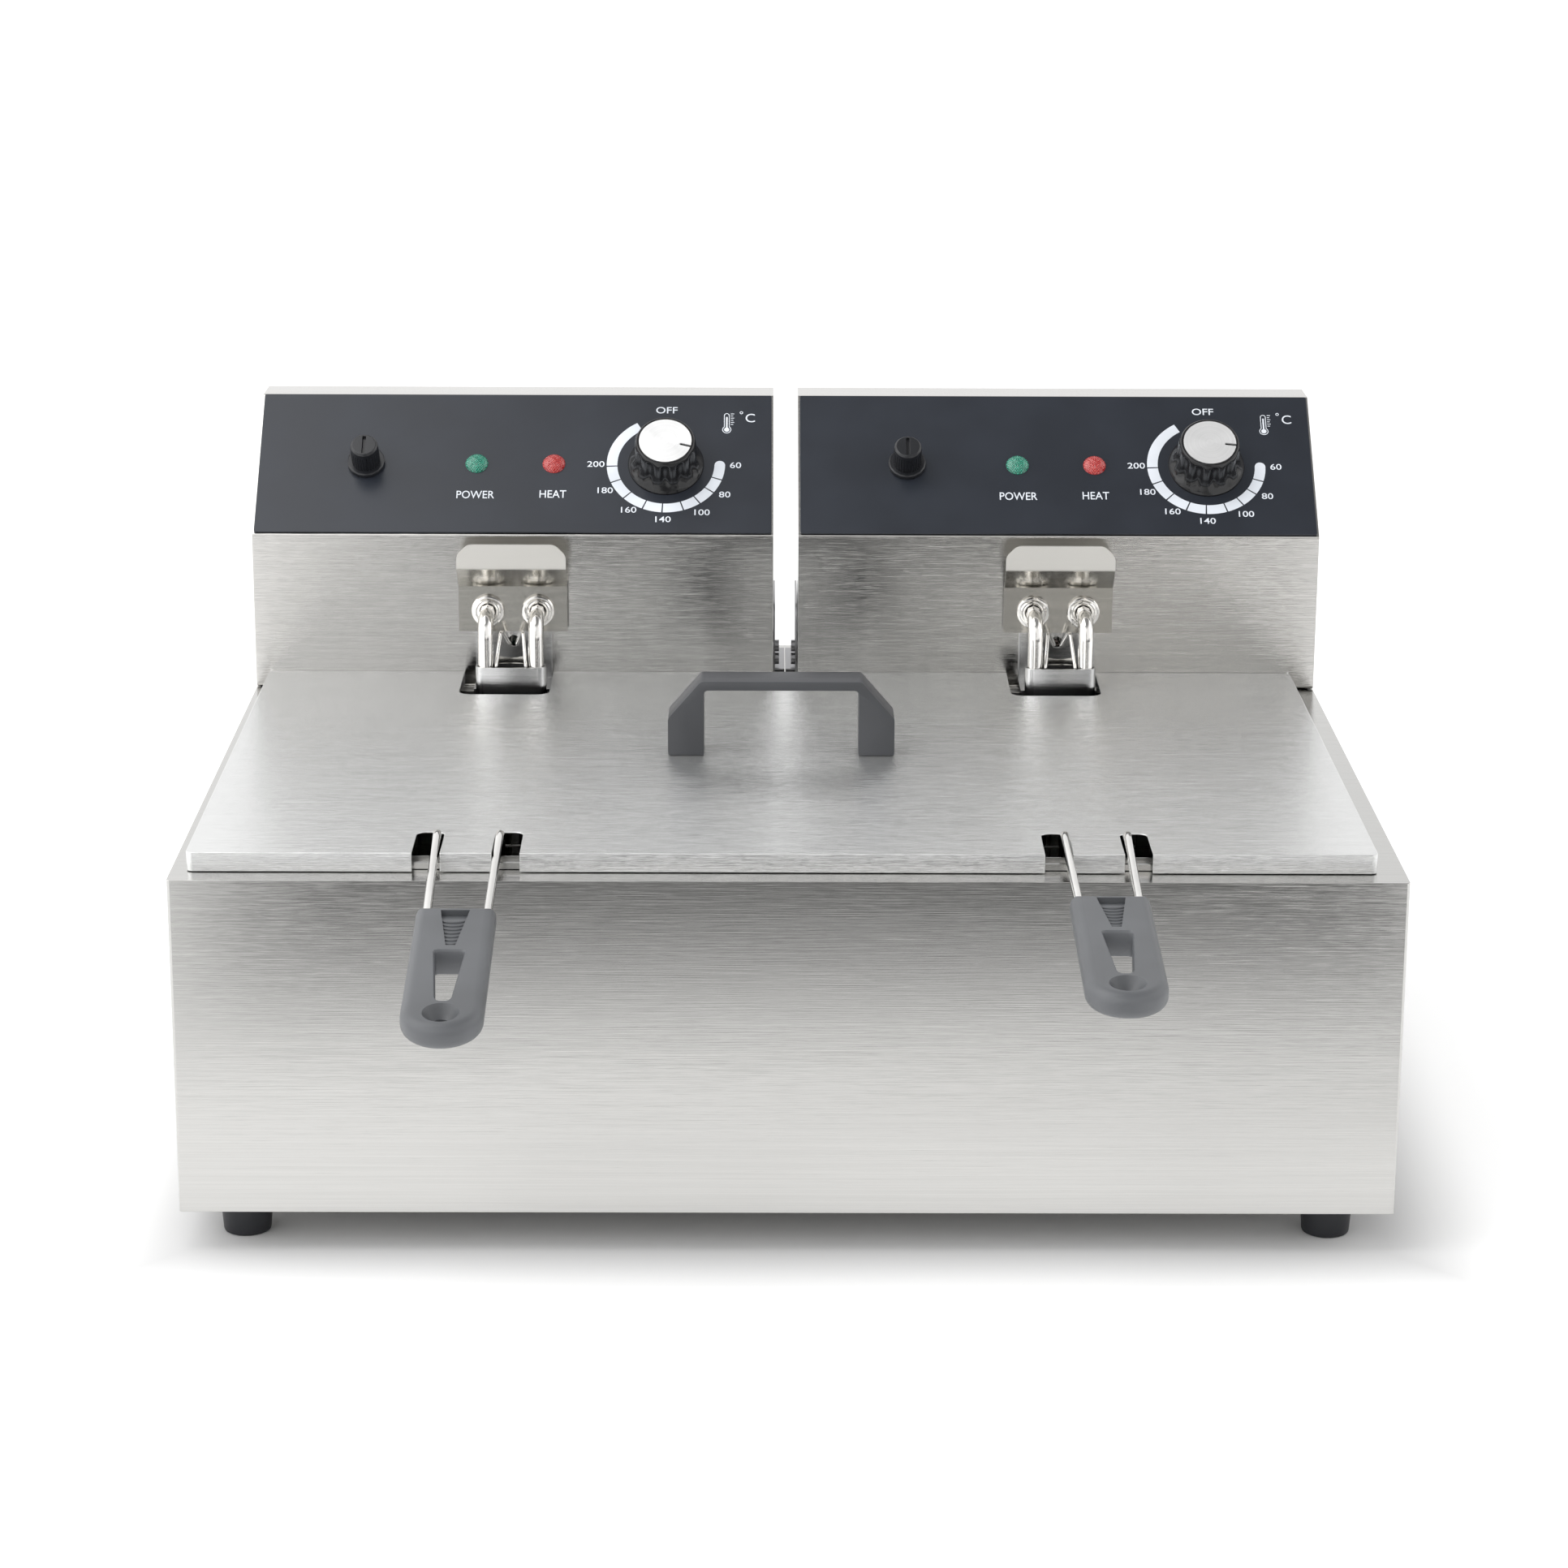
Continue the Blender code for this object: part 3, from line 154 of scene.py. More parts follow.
def brushedSteel(name):
    # grain runs along X, and along Y where a face looks sideways
    look = steelLooks[name]
    finish, tree, place = newFinish(name)
    facing = tree.node("ShaderNodeTexCoord", out="Normal")
    facingX = tree.node("ShaderNodeSeparateXYZ", None, {0: facing})
    sideways = facingX.math("ABSOLUTE").math("GREATER_THAN", 0.7)
    across = look["across"]
    along = look["along"]
    stretch = {0: sideways, 4: (along, across, across), 5: (across, along, across)}
    grainScale = tree.node("ShaderNodeMix", {"data_type": "VECTOR"}, stretch, out=1)
    grainPlace = place.vector("MULTIPLY", grainScale)
    fine = noise(grainPlace, 1.0, 3.0, 0.6)
    coarse = noise(grainPlace, 0.3, 3.0, 0.65)
    cloud = noise(place, 9.0, 3.0, 0.55)
    low = tuple(value * 0.965 for value in look["tint"])
    high = tuple(min(1.0, value * 1.035) for value in look["tint"])
    normal = bump(fine * 0.9 + coarse * 0.16, look["grain"])
    height = tree.node("ShaderNodeSeparateXYZ", None, {0: place}, out=2)
    lip = height.between(0.2445, 0.2465)
    matt = lip * look.get("matt", 0.0)
    colour = coarse.between(0.3, 0.7).tint(low, high)
    if "pale" in look:
        paler = tuple(value + look["pale"] for value in look["tint"])
        colour = lip.tint(colour, paler)
    close(tree, {
        "Base Color": colour,
        "Metallic": look.get("metal", 1.0),
        "Roughness": look["rough"] + (coarse - 0.5) * 0.08 + (cloud - 0.5) * look["stain"] * 2 + matt,
        "Normal": normal,
    })
    return finish


smoothLooks = {
    "tubeMetal": {"tint": (0.88, 0.865, 0.84), "metal": 1.0, "rough": 0.13,
                  "vary": 0.1, "bump": 2.0e-5, "scale": 260},
    "wireMetal": {"tint": (0.80, 0.79, 0.77), "metal": 1.0, "rough": 0.1,
                  "vary": 0.08, "bump": 1.0e-5, "scale": 400},
    "boltMetal": {"tint": (0.62, 0.61, 0.58), "metal": 1.0, "rough": 0.25,
                  "vary": 0.15, "bump": 2.0e-5, "scale": 500},
    "gripPlastic": {"tint": (0.115, 0.120, 0.128), "metal": 0.0, "rough": 0.42,
                    "vary": 0.12, "bump": 3.0e-5, "scale": 1400},
    "handlePlastic": {"tint": (0.062, 0.064, 0.070), "metal": 0.0, "rough": 0.45,
                      "vary": 0.12, "bump": 4.0e-5, "scale": 1400},
    "panelPaint": {"tint": (0.019, 0.023, 0.032), "metal": 0.0, "rough": 0.33,
                   "vary": 0.06, "bump": 1.2e-5, "scale": 1100},
    "knobPlastic": {"tint": (0.010, 0.010, 0.011), "metal": 0.0, "rough": 0.16,
                    "vary": 0.08, "bump": 1.0e-5, "scale": 600},
    "fusePlastic": {"tint": (0.014, 0.015, 0.018), "metal": 0.0, "rough": 0.3,
                    "vary": 0.1, "bump": 2.0e-5, "scale": 900},
    "footRubber": {"tint": (0.018, 0.019, 0.023), "metal": 0.0, "rough": 0.48,
                   "vary": 0.15, "bump": 4.0e-5, "scale": 700},
    "whiteCeramic": {"tint": (0.72, 0.70, 0.64), "metal": 0.0, "rough": 0.4,
                     "vary": 0.1, "bump": 3.0e-5, "scale": 500},
    "printInk": {"tint": (0.80, 0.84, 0.90), "metal": 0.0, "rough": 0.4,
                 "vary": 0.1, "bump": 0.6e-5, "scale": 1500},
}


def smoothFinish(name):
    # a fine moulded or drawn surface with slow changes of gloss
    look = smoothLooks[name]
    finish, tree, place = newFinish(name)
    grit = noise(place, look["scale"], 3.0, 0.6)
    cloud = noise(place, 26.0, 2.0, 0.5)
    low = tuple(value * 0.90 for value in look["tint"])
    high = tuple(min(1.0, value * 1.10) for value in look["tint"])
    close(tree, {
        "Base Color": cloud.between(0.3, 0.7).tint(low, high),
        "Metallic": look["metal"],
        "Roughness": look["rough"] + (cloud - 0.5) * look["vary"] + (grit - 0.5) * look["vary"] * 0.5,
        "Normal": bump(grit, look["bump"]),
    })
    return finish


def lensFinish(name, dark, light):
    # the cut diamonds carry their height in an attribute, and their tips are paler and glow faintly: a painted
    # highlight on each diamond's tip
    finish, tree, place = newFinish(name)
    facet = tree.node("ShaderNodeAttribute", {"attribute_name": "facet"}, out="Fac")
    grit = noise(place, 1600.0, 2.0, 0.5)
    tipGlint = (facet + (grit - 0.5) * 0.5).between(0.15, 0.95)
    close(tree, {
        "Base Color": tipGlint.tint(dark, light),
        "Roughness": 0.08 + grit * 0.1,
        "Emission Color": tipGlint.tint(dark, light),
        "Emission Strength": 0.12,
        "Coat Weight": 0.6,
    })
    return finish


def spunFinish(name, centre):
    # rings turned into the disc spread the light across them, which leaves bright wedges
    finish, tree, place = newFinish(name)
    radius = place.vector("DISTANCE", tuple(centre), out="Value")
    spot = tree.node("ShaderNodeCombineXYZ", None, {0: radius * 5200.0})
    rings = noise(spot, 1.0, 3.0, 0.7)
    wide = noise(spot, 0.2, 2.0, 0.6)
    close(tree, {
        "Base Color": wide.between(0.3, 0.7).tint((0.90, 0.90, 0.90), (0.98, 0.98, 0.98)),
        "Metallic": 0.55,
        "Roughness": 0.2 + (wide - 0.5) * 0.1,
        "Normal": bump(rings, 6.5e-5),
    })
    return finish


finishes = {name: brushedSteel(name) for name in steelLooks}
finishes.update({name: smoothFinish(name) for name in smoothLooks})
finishes["greenLens"] = lensFinish("greenLens", (0.002, 0.10, 0.065), (0.10, 0.62, 0.42))
finishes["redLens"] = lensFinish("redLens", (0.28, 0.004, 0.008), (0.85, 0.16, 0.13))
print("finishes made:", len(finishes))


# tools for pieces

def newPiece(name, mesh, finish, body, slot, *replaced):
    mesh.materials.clear()
    mesh.materials.append(finishes[finish] if isinstance(finish, str) else finish)
    piece = bpy.data.objects.new(name, mesh)
    bpy.context.scene.collection.objects.link(piece)
    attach(piece, body)
    if replaced:
        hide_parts(*replaced)
    return piece


def shadeByAngle(mesh, degrees):
    mesh.polygons.foreach_set("use_smooth", [True] * len(mesh.polygons))
    mesh.set_sharp_from_angle(angle=math.radians(degrees))


def baked(obj, name):
    # the modifiers' result as a plain mesh, and the working object gone
    graph = bpy.context.evaluated_depsgraph_get()
    shown = obj.evaluated_get(graph)
    mesh = bpy.data.meshes.new_from_object(shown, preserve_all_data_layers=True, depsgraph=graph)
    mesh.name = name
    obj.modifiers.clear()
    bpy.data.objects.remove(obj)
    return mesh


def mergedCopy(node):
    mesh = nodes[node].data.copy()
    work = bmesh.new()
    work.from_mesh(mesh)
    bmesh.ops.remove_doubles(work, verts=work.verts, dist=2e-6)
    work.to_mesh(mesh)
    work.free()
    for attribute in ("custom_normal", "sharp_face", "sharp_edge"):
        if attribute in mesh.attributes:
            mesh.attributes.remove(mesh.attributes[attribute])
    return mesh


def flatMerged(mesh, degrees=0.4):
    work = bmesh.new()
    work.from_mesh(mesh)
    bmesh.ops.dissolve_limit(work, angle_limit=math.radians(degrees), verts=work.verts, edges=work.edges)
    work.to_mesh(mesh)
    work.free()


def refined(node, finish, angle=35, edge=0.0, name=None):
    # a CAD node with its seams joined, its curves smooth and its sharp edges broken
    mesh = mergedCopy(node)
    if edge:
        flatMerged(mesh)
        obj = bpy.data.objects.new(node + "_work", mesh)
        bpy.context.scene.collection.objects.link(obj)
        bevel = obj.modifiers.new("edge", "BEVEL")
        bevel.width = edge
        bevel.segments = 2
        bevel.limit_method = "ANGLE"
        bevel.angle_limit = math.radians(angle)
        bevel.miter_outer = "MITER_ARC"
        weighted = obj.modifiers.new("flats", "WEIGHTED_NORMAL")
        weighted.weight = 90
        mesh.polygons.foreach_set("use_smooth", [True] * len(mesh.polygons))
        mesh = baked(obj, node + "_fine")
    else:
        shadeByAngle(mesh, angle)
    slot = nodes[node].data.materials[0].name
    return newPiece(name or node + "_fine", mesh, finish, bodyOf[node], slot, node)


def joined(meshes, name):
    work = bmesh.new()
    for mesh in meshes:
        work.from_mesh(mesh)
    whole = bpy.data.meshes.new(name)
    work.to_mesh(whole)
    work.free()
    return whole


def meshFrom(work, name):
    mesh = bpy.data.meshes.new(name)
    work.to_mesh(mesh)
    work.free()
    return mesh


def skinRings(work, rings, steps):
    # a ring of one point closes the shape at the middle
    for low, high in zip(rings, rings[1:]):
        for step in range(steps):
            after = (step + 1) % steps
            corners = [low[step % len(low)], low[after % len(low)]]
            corners += [high[after % len(high)], high[step % len(high)]]
            corners = list(dict.fromkeys(corners))
            if len(corners) > 2:
                work.faces.new(corners)


def spun(profile, name, steps=48, place=None):
    # profile is radius and height from the middle round to the middle again
    work = bmesh.new()
    rings = []
    for radius, height in profile:
        if radius < 1e-7:
            rings.append([work.verts.new((0, 0, height))])
        else:
            turns = [2 * math.pi * step / steps for step in range(steps)]
            ring = [(radius * math.cos(a), radius * math.sin(a), height) for a in turns]
            rings.append([work.verts.new(point) for point in ring])
    skinRings(work, rings, steps)
    bmesh.ops.recalc_face_normals(work, faces=work.faces)
    mesh = meshFrom(work, name)
    if place is not None:
        mesh.transform(place)
    return mesh


def slab(outline, low, high, name, holes=()):
    # a flat shape between two heights
    curve = bpy.data.curves.new(name, "CURVE")
    curve.dimensions = "2D"
    curve.fill_mode = "BOTH"
    curve.extrude = (high - low) / 2
    for corners in (outline, *holes):
        spline = curve.splines.new("POLY")
        spline.points.add(len(corners) - 1)
        spline.use_cyclic_u = True
        for point, (x, y) in zip(spline.points, corners):
            point.co = (x, y, 0, 1)
    obj = bpy.data.objects.new(name, curve)
    bpy.context.scene.collection.objects.link(obj)
    mesh = baked(obj, name)
    mesh.transform(Matrix.Translation((0, 0, (low + high) / 2)))
    return welded(mesh)


def welded(mesh, distance=1e-7):
    work = bmesh.new()
    work.from_mesh(mesh)
    bmesh.ops.remove_doubles(work, verts=work.verts, dist=distance)
    bmesh.ops.recalc_face_normals(work, faces=work.faces)
    work.to_mesh(mesh)
    work.free()
    return mesh


# geometry nodes

def newTree(name, inputs):
    # inputs are named sizes with the values they start at
    group = bpy.data.node_groups.new(name, "GeometryNodeTree")
    group.interface.new_socket("Geometry", in_out="INPUT", socket_type="NodeSocketGeometry")
    for label, value in inputs.items():
        kinds = {int: "NodeSocketInt", float: "NodeSocketFloat", tuple: "NodeSocketVector"}
        kind = kinds.get(type(value), "NodeSocketObject")
        socket = group.interface.new_socket(label, in_out="INPUT", socket_type=kind)
        if kind != "NodeSocketObject":
            socket.default_value = value
    group.interface.new_socket("Geometry", in_out="OUTPUT", socket_type="NodeSocketGeometry")
    tree = Socket(group)
    start = group.nodes.new("NodeGroupInput")
    named = {socket.name: Socket(group, socket) for socket in start.outputs if socket.name}
    return group, tree, named


def finishTree(group, geometry, finish):
    whole = geometry.node("GeometryNodeRealizeInstances", None, {0: geometry})
    painted = whole.node("GeometryNodeSetMaterial", None, {0: whole, 2: finishes[finish]})
    painted.node("NodeGroupOutput", None, {0: painted})


def grown(group, name, values, base=None):
    # runs a tree with these sizes and hands back a plain mesh
    obj = bpy.data.objects.new(name + "_work", base or bpy.data.meshes.new(name + "_seed"))
    bpy.context.scene.collection.objects.link(obj)
    modifier = obj.modifiers.new(group.name, "NODES")
    modifier.node_group = group
    for item in group.interface.items_tree:
        if item.in_out == "INPUT" and item.name in values:
            modifier[item.identifier] = values[item.name]
    return baked(obj, name)


def tubeNodes(curve, radius, sides=8, caps=True):
    circle = curve.node("GeometryNodeCurvePrimitiveCircle", None, {"Resolution": sides, "Radius": radius})
    inputs = {"Curve": curve, "Profile Curve": circle, "Fill Caps": caps}
    return curve.node("GeometryNodeCurveToMesh", None, inputs)


def joinNodes(*parts):
    return parts[0].node("GeometryNodeJoinGeometry", None, {0: list(parts)})


# the panel's own frame: X across, Y up the slope, Z out of it

panelSizes = {"rise": 0.0816, "run": 0.0682, "climb": 0.0611, "lift": 0.0013, "row": 0.045}


def panelPlace(side, across=0.0, up=0.0, out=0.0):
    low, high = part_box("head_shell_" + side)
    slope = math.atan2(panelSizes["climb"], panelSizes["run"])
    origin = Matrix.Translation(((low.x + high.x) / 2, low.y, low.z + panelSizes["rise"]))
    return origin @ Matrix.Rotation(slope, 4, "X") @ Matrix.Translation((across, up, out))


# sheet metal and plain parts taken from the frame

fineParts = {
    "body_shell": ("bodySteel", 40, 0.0003),
    "base_plate": ("tankSteel", 40, 0.0002),
    "lid": ("lidSteel", 40, 0.0003),
    "lid_handle": ("handlePlastic", 50, 0.0),
    "head_shell": ("headSteel", 40, 0.0003),
    "control_panel": ("panelPaint", 40, 0.0002),
    "back_cover": ("headSteel", 40, 0.0002),
    "cable_gland": ("footRubber", 40, 0.0),
    "head_guide_outer": ("guideSteel", 40, 0.0),
    "head_guide_inner": ("guideSteel", 40, 0.0),
    "tank": ("tankSteel", 35, 0.0),
    "element_strap": ("strapSteel", 35, 0.0),
    "element_channel": ("strapSteel", 35, 0.0002),
    "heating_element": ("tubeMetal", 60, 0.0),
    "thermostat_probe": ("wireMetal", 60, 0.0),
    "limiter_probe": ("wireMetal", 60, 0.0),
    "handle_wire": ("wireMetal", 60, 0.0),
    "fuse_holder": ("fusePlastic", 40, 0.0),
    "fuse_cap": ("fusePlastic", 40, 0.0002),
    "thermostat": ("boltMetal", 40, 0.0003),
    "terminal_block": ("whiteCeramic", 40, 0.0006),
}


def partKey(node):
    words = [word for word in node.split("_") if word not in sides]
    return "_".join(words)


for node in sorted(nodes):
    key = partKey(node)
    if key in fineParts:
        finish, angle, edge = fineParts[key]
        refined(node, finish, angle, edge)
print("sheet metal and plain parts refined")


# feet

footSizes = {"top": 0.0130, "bottom": 0.0110, "groove": 0.0006}


def footMesh(node):
    low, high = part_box(node)
    tall = high.z - low.z
    top = footSizes["top"]
    bottom = footSizes["bottom"]
    cut = footSizes["groove"]
    profile = [
        (0, 0.0010), (0.0042, 0.0010), (0.0046, 0), (bottom - 0.0012, 0), (bottom - 0.0003, 0.0004),
        (bottom, 0.0013), (bottom + (top - bottom) * 0.78 - cut, tall - 0.0052),
        (top - cut * 1.6, tall - 0.0048), (top - cut * 1.6, tall - 0.0042), (top - 0.0002, tall - 0.0038),
        (top, tall - 0.0032), (top, tall - 0.0006), (top - 0.0005, tall), (0, tall),
    ]
    centre = (low + high) / 2
    mesh = spun(profile, node + "_fine", 48, Matrix.Translation((centre.x, centre.y, low.z)))
    shadeByAngle(mesh, 35)
    return mesh


for node in sorted(name for name in nodes if name.startswith("foot_")):
    newPiece(node + "_fine", footMesh(node), "footRubber", "body", "black_rubber", node)
print("feet turned")


# baskets woven from wire

basketSizes = {"wire": 0.00075, "rimWire": 0.0019, "across": 25, "along": 29, "levels": 13, "corner": 0.020}


def wovenTree():
    labels = {
        "Width": 0.2, "Length": 0.228, "Height": 0.106, "Corner": 0.02, "Wire": 0.00075,
        "Rim wire": 0.0019, "Across": 25, "Along": 29, "Levels": 13, "Place": (0.0, 0.0, 0.0),
    }
    group, tree, given = newTree("wovenBasket", labels)

    def bentWires(wide, long, count, turned):
        index = tree.node("GeometryNodeInputIndex") - 1.5
        axes = (1, 0) if turned else (0, 1)
        spot = {axes[1]: index.math("SIGN"), 2: index.math("ABSOLUTE").math("GREATER_THAN", 1.0)}
        line = tree.node("GeometryNodeMeshLine", None, {"Count": 4})
        spots = tree.node("ShaderNodeCombineXYZ", None, spot)
        shaped = line.node("GeometryNodeSetPosition", None, {0: line, 2: spots})
        wire = shaped.node("GeometryNodeMeshToCurve", None, {0: shaped})
        reach = wide * 0.5 - 0.006
        start = tree.node("ShaderNodeCombineXYZ", None, {axes[0]: reach * -1.0})
        end = tree.node("ShaderNodeCombineXYZ", None, {axes[0]: reach})
        inputs = {"Count": count, "Start Location": start, "Offset": end}
        row = tree.node("GeometryNodeMeshLine", {"mode": "END_POINTS"}, inputs)
        position = tree.node("GeometryNodeInputPosition")
        away = position.node("ShaderNodeSeparateXYZ", None, {0: position}, out=axes[0]).math("ABSOLUTE")
        corner = given["Corner"]
        past = (away - (wide * 0.5 - corner)).math("MAXIMUM", 0.0)
        bow = corner - (corner * corner - past * past).math("MAXIMUM", 0.0).math("SQRT")
        half = long * 0.5 - bow - given["Wire"]
        scale = tree.node("ShaderNodeCombineXYZ", None, {axes[0]: 1.0, axes[1]: half, 2: given["Height"]})
        inputs = {"Points": row, "Instance": wire, "Scale": scale}
        placed = row.node("GeometryNodeInstanceOnPoints", None, inputs)
        real = placed.node("GeometryNodeRealizeInstances", None, {0: placed})
        inputs = {"Curve": real, "Count": 3, "Radius": 0.005}
        soft = real.node("GeometryNodeFilletCurve", {"mode": "POLY"}, inputs)
        return tubeNodes(soft, given["Wire"], 6)

    def hoop(radius, shrink):
        inputs = {"Width": given["Width"] - shrink * 2.0, "Height": given["Length"] - shrink * 2.0}
        square = tree.node("GeometryNodeCurvePrimitiveQuadrilateral", None, inputs)
        inputs = {"Curve": square, "Count": 5, "Radius": given["Corner"]}
        return square.node("GeometryNodeFilletCurve", {"mode": "POLY"}, inputs)

    lengthways = bentWires(given["Width"], given["Length"], given["Across"], False)
    crossways = bentWires(given["Length"], given["Width"], given["Along"], True)
    inputs = {0: crossways, "Translation": (0.0, 0.0, 0.0014)}
    crossways = crossways.node("GeometryNodeTransform", None, inputs)
    top = tree.node("ShaderNodeCombineXYZ", None, {2: given["Height"] - 0.008})
    bottom = tree.node("ShaderNodeCombineXYZ", None, {2: 0.008})
    inputs = {"Count": given["Levels"], "Start Location": bottom, "Offset": top}
    stack = tree.node("GeometryNodeMeshLine", {"mode": "END_POINTS"}, inputs)
    ring = hoop(given["Wire"], given["Wire"] * 3.0)
    hoops = stack.node("GeometryNodeInstanceOnPoints", None, {"Points": stack, "Instance": ring})
    hoops = tubeNodes(hoops.node("GeometryNodeRealizeInstances", None, {0: hoops}), given["Wire"], 6)
    rim = tubeNodes(hoop(given["Rim wire"], given["Rim wire"]), given["Rim wire"], 10)
    raised = tree.node("ShaderNodeCombineXYZ", None, {2: given["Height"] - given["Rim wire"]})
    rim = rim.node("GeometryNodeTransform", None, {0: rim, "Translation": raised})
    whole = joinNodes(lengthways, crossways, hoops, rim)
    whole = whole.node("GeometryNodeSetShadeSmooth", None, {0: whole})
    whole = whole.node("GeometryNodeTransform", None, {0: whole, "Translation": given["Place"]})
    finishTree(group, whole, "wireMetal")
    return group


woven = wovenTree()
for side in sides:
    low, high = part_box("basket_" + side)
    wire = basketSizes["wire"]
    values = {
        "Width": high.x - low.x, "Length": high.y - low.y, "Height": high.z - low.z - wire,
        "Corner": basketSizes["corner"], "Wire": wire, "Rim wire": basketSizes["rimWire"],
        "Across": basketSizes["across"], "Along": basketSizes["along"], "Levels": basketSizes["levels"],
        "Place": ((low.x + high.x) / 2, (low.y + high.y) / 2, low.z + wire),
    }
    node = "basket_" + side
    mesh = grown(woven, node + "_woven", values)
    newPiece(node + "_woven", mesh, "wireMetal", side + "_basket", "bright_wire", node)
print("baskets woven")


# hangers: the lip's cut corners rounded off

hangerSizes = {"cut": 45, "sheet": 0.002, "round": 0.0022}


def hangerMesh(node):
    mesh = mergedCopy(node)
    flatMerged(mesh)
    work = bmesh.new()
    work.from_mesh(mesh)
    corners = []
    for edge in work.edges:
        if edge.calc_length() < hangerSizes["sheet"] and len(edge.link_faces) == 2:
            turn = math.degrees(edge.calc_face_angle())
            if abs(turn - hangerSizes["cut"]) < 3 and edge.verts[0].co.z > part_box(node)[1].z - 0.008:
                corners.append(edge)
    reach = hangerSizes["round"]
    bmesh.ops.bevel(work, geom=corners, offset=reach, segments=4, profile=0.5, affect="EDGES")
    work.to_mesh(mesh)
    work.free()
    shadeByAngle(mesh, 25)
    return mesh


for side in sides:
    node = "basket_hanger_" + side
    slot = nodes[node].data.materials[0].name
    newPiece(node + "_fine", hangerMesh(node), "bracketSteel", bodyOf[node], slot, node)
print("hangers rounded")


# grips: a rounded moulding with ribs in its thumb recess

gripSizes = {
    "slope": {"left": 10.3, "right": 5.5}, "peakY": 0.031, "peakZ": 0.1877,
    "start": 0.074, "long": 0.1075, "across": 0.035, "thick": 0.012, "round": 0.0048, "recess": 0.0012,
    "slot": (0.041, 0.084), "slotHalf": (0.0063, 0.0034), "hole": 0.0945,
    "holeRadius": 0.0035, "bowl": 0.0076, "bowlDeep": 0.0055, "thumb": (0.005, 0.0365), "thumbHalf": (0.0063, 0.0021),
    "ribFrom": 0.0135, "ribTo": 0.0335, "ribs": 7, "wide": 0.0096, "narrow": 0.0042, "ribWire": 0.00062,
}


def gripPlace(side):
    low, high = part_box("basket_grip_" + side)
    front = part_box("body_shell")[0].y
    peak = Matrix.Translation(((low.x + high.x) / 2, front + gripSizes["peakY"], gripSizes["peakZ"]))
    slope = Matrix.Rotation(math.radians(gripSizes["slope"][side]), 4, "X")
    return peak @ slope @ Matrix.Translation((0, -gripSizes["start"], 0))


def gripOutline(inset, level):
    half = gripSizes["across"] / 2 - inset
    middle = gripSizes["across"] / 2 - gripSizes["long"]
    turns = [math.pi + math.pi * step / 24 for step in range(25)]
    points = [(half * math.cos(a), middle + half * math.sin(a), level) for a in turns]
    corner = max(0.0004, 0.003 - inset)
    turns = [math.pi / 2 * step / 4 for step in range(5)]
    side, front = half - corner, -inset - corner
    right = [(side + corner * math.cos(a), front + corner * math.sin(a), level) for a in turns]
    left = [(-x, y, z) for x, y, z in reversed(right)]
    return points + right + left


def loftMesh(rings, name):
    # closed rings of points skinned one to the next, with the first and last filled
    work = bmesh.new()
    made = [[work.verts.new(point) for point in ring] for ring in rings]
    for low, high in zip(made, made[1:]):
        for step in range(len(low)):
            after = (step + 1) % len(low)
            work.faces.new((low[step], low[after], high[after], high[step]))
    work.faces.new(list(reversed(made[0])))
    work.faces.new(made[-1])
    bmesh.ops.recalc_face_normals(work, faces=work.faces)
    return meshFrom(work, name)


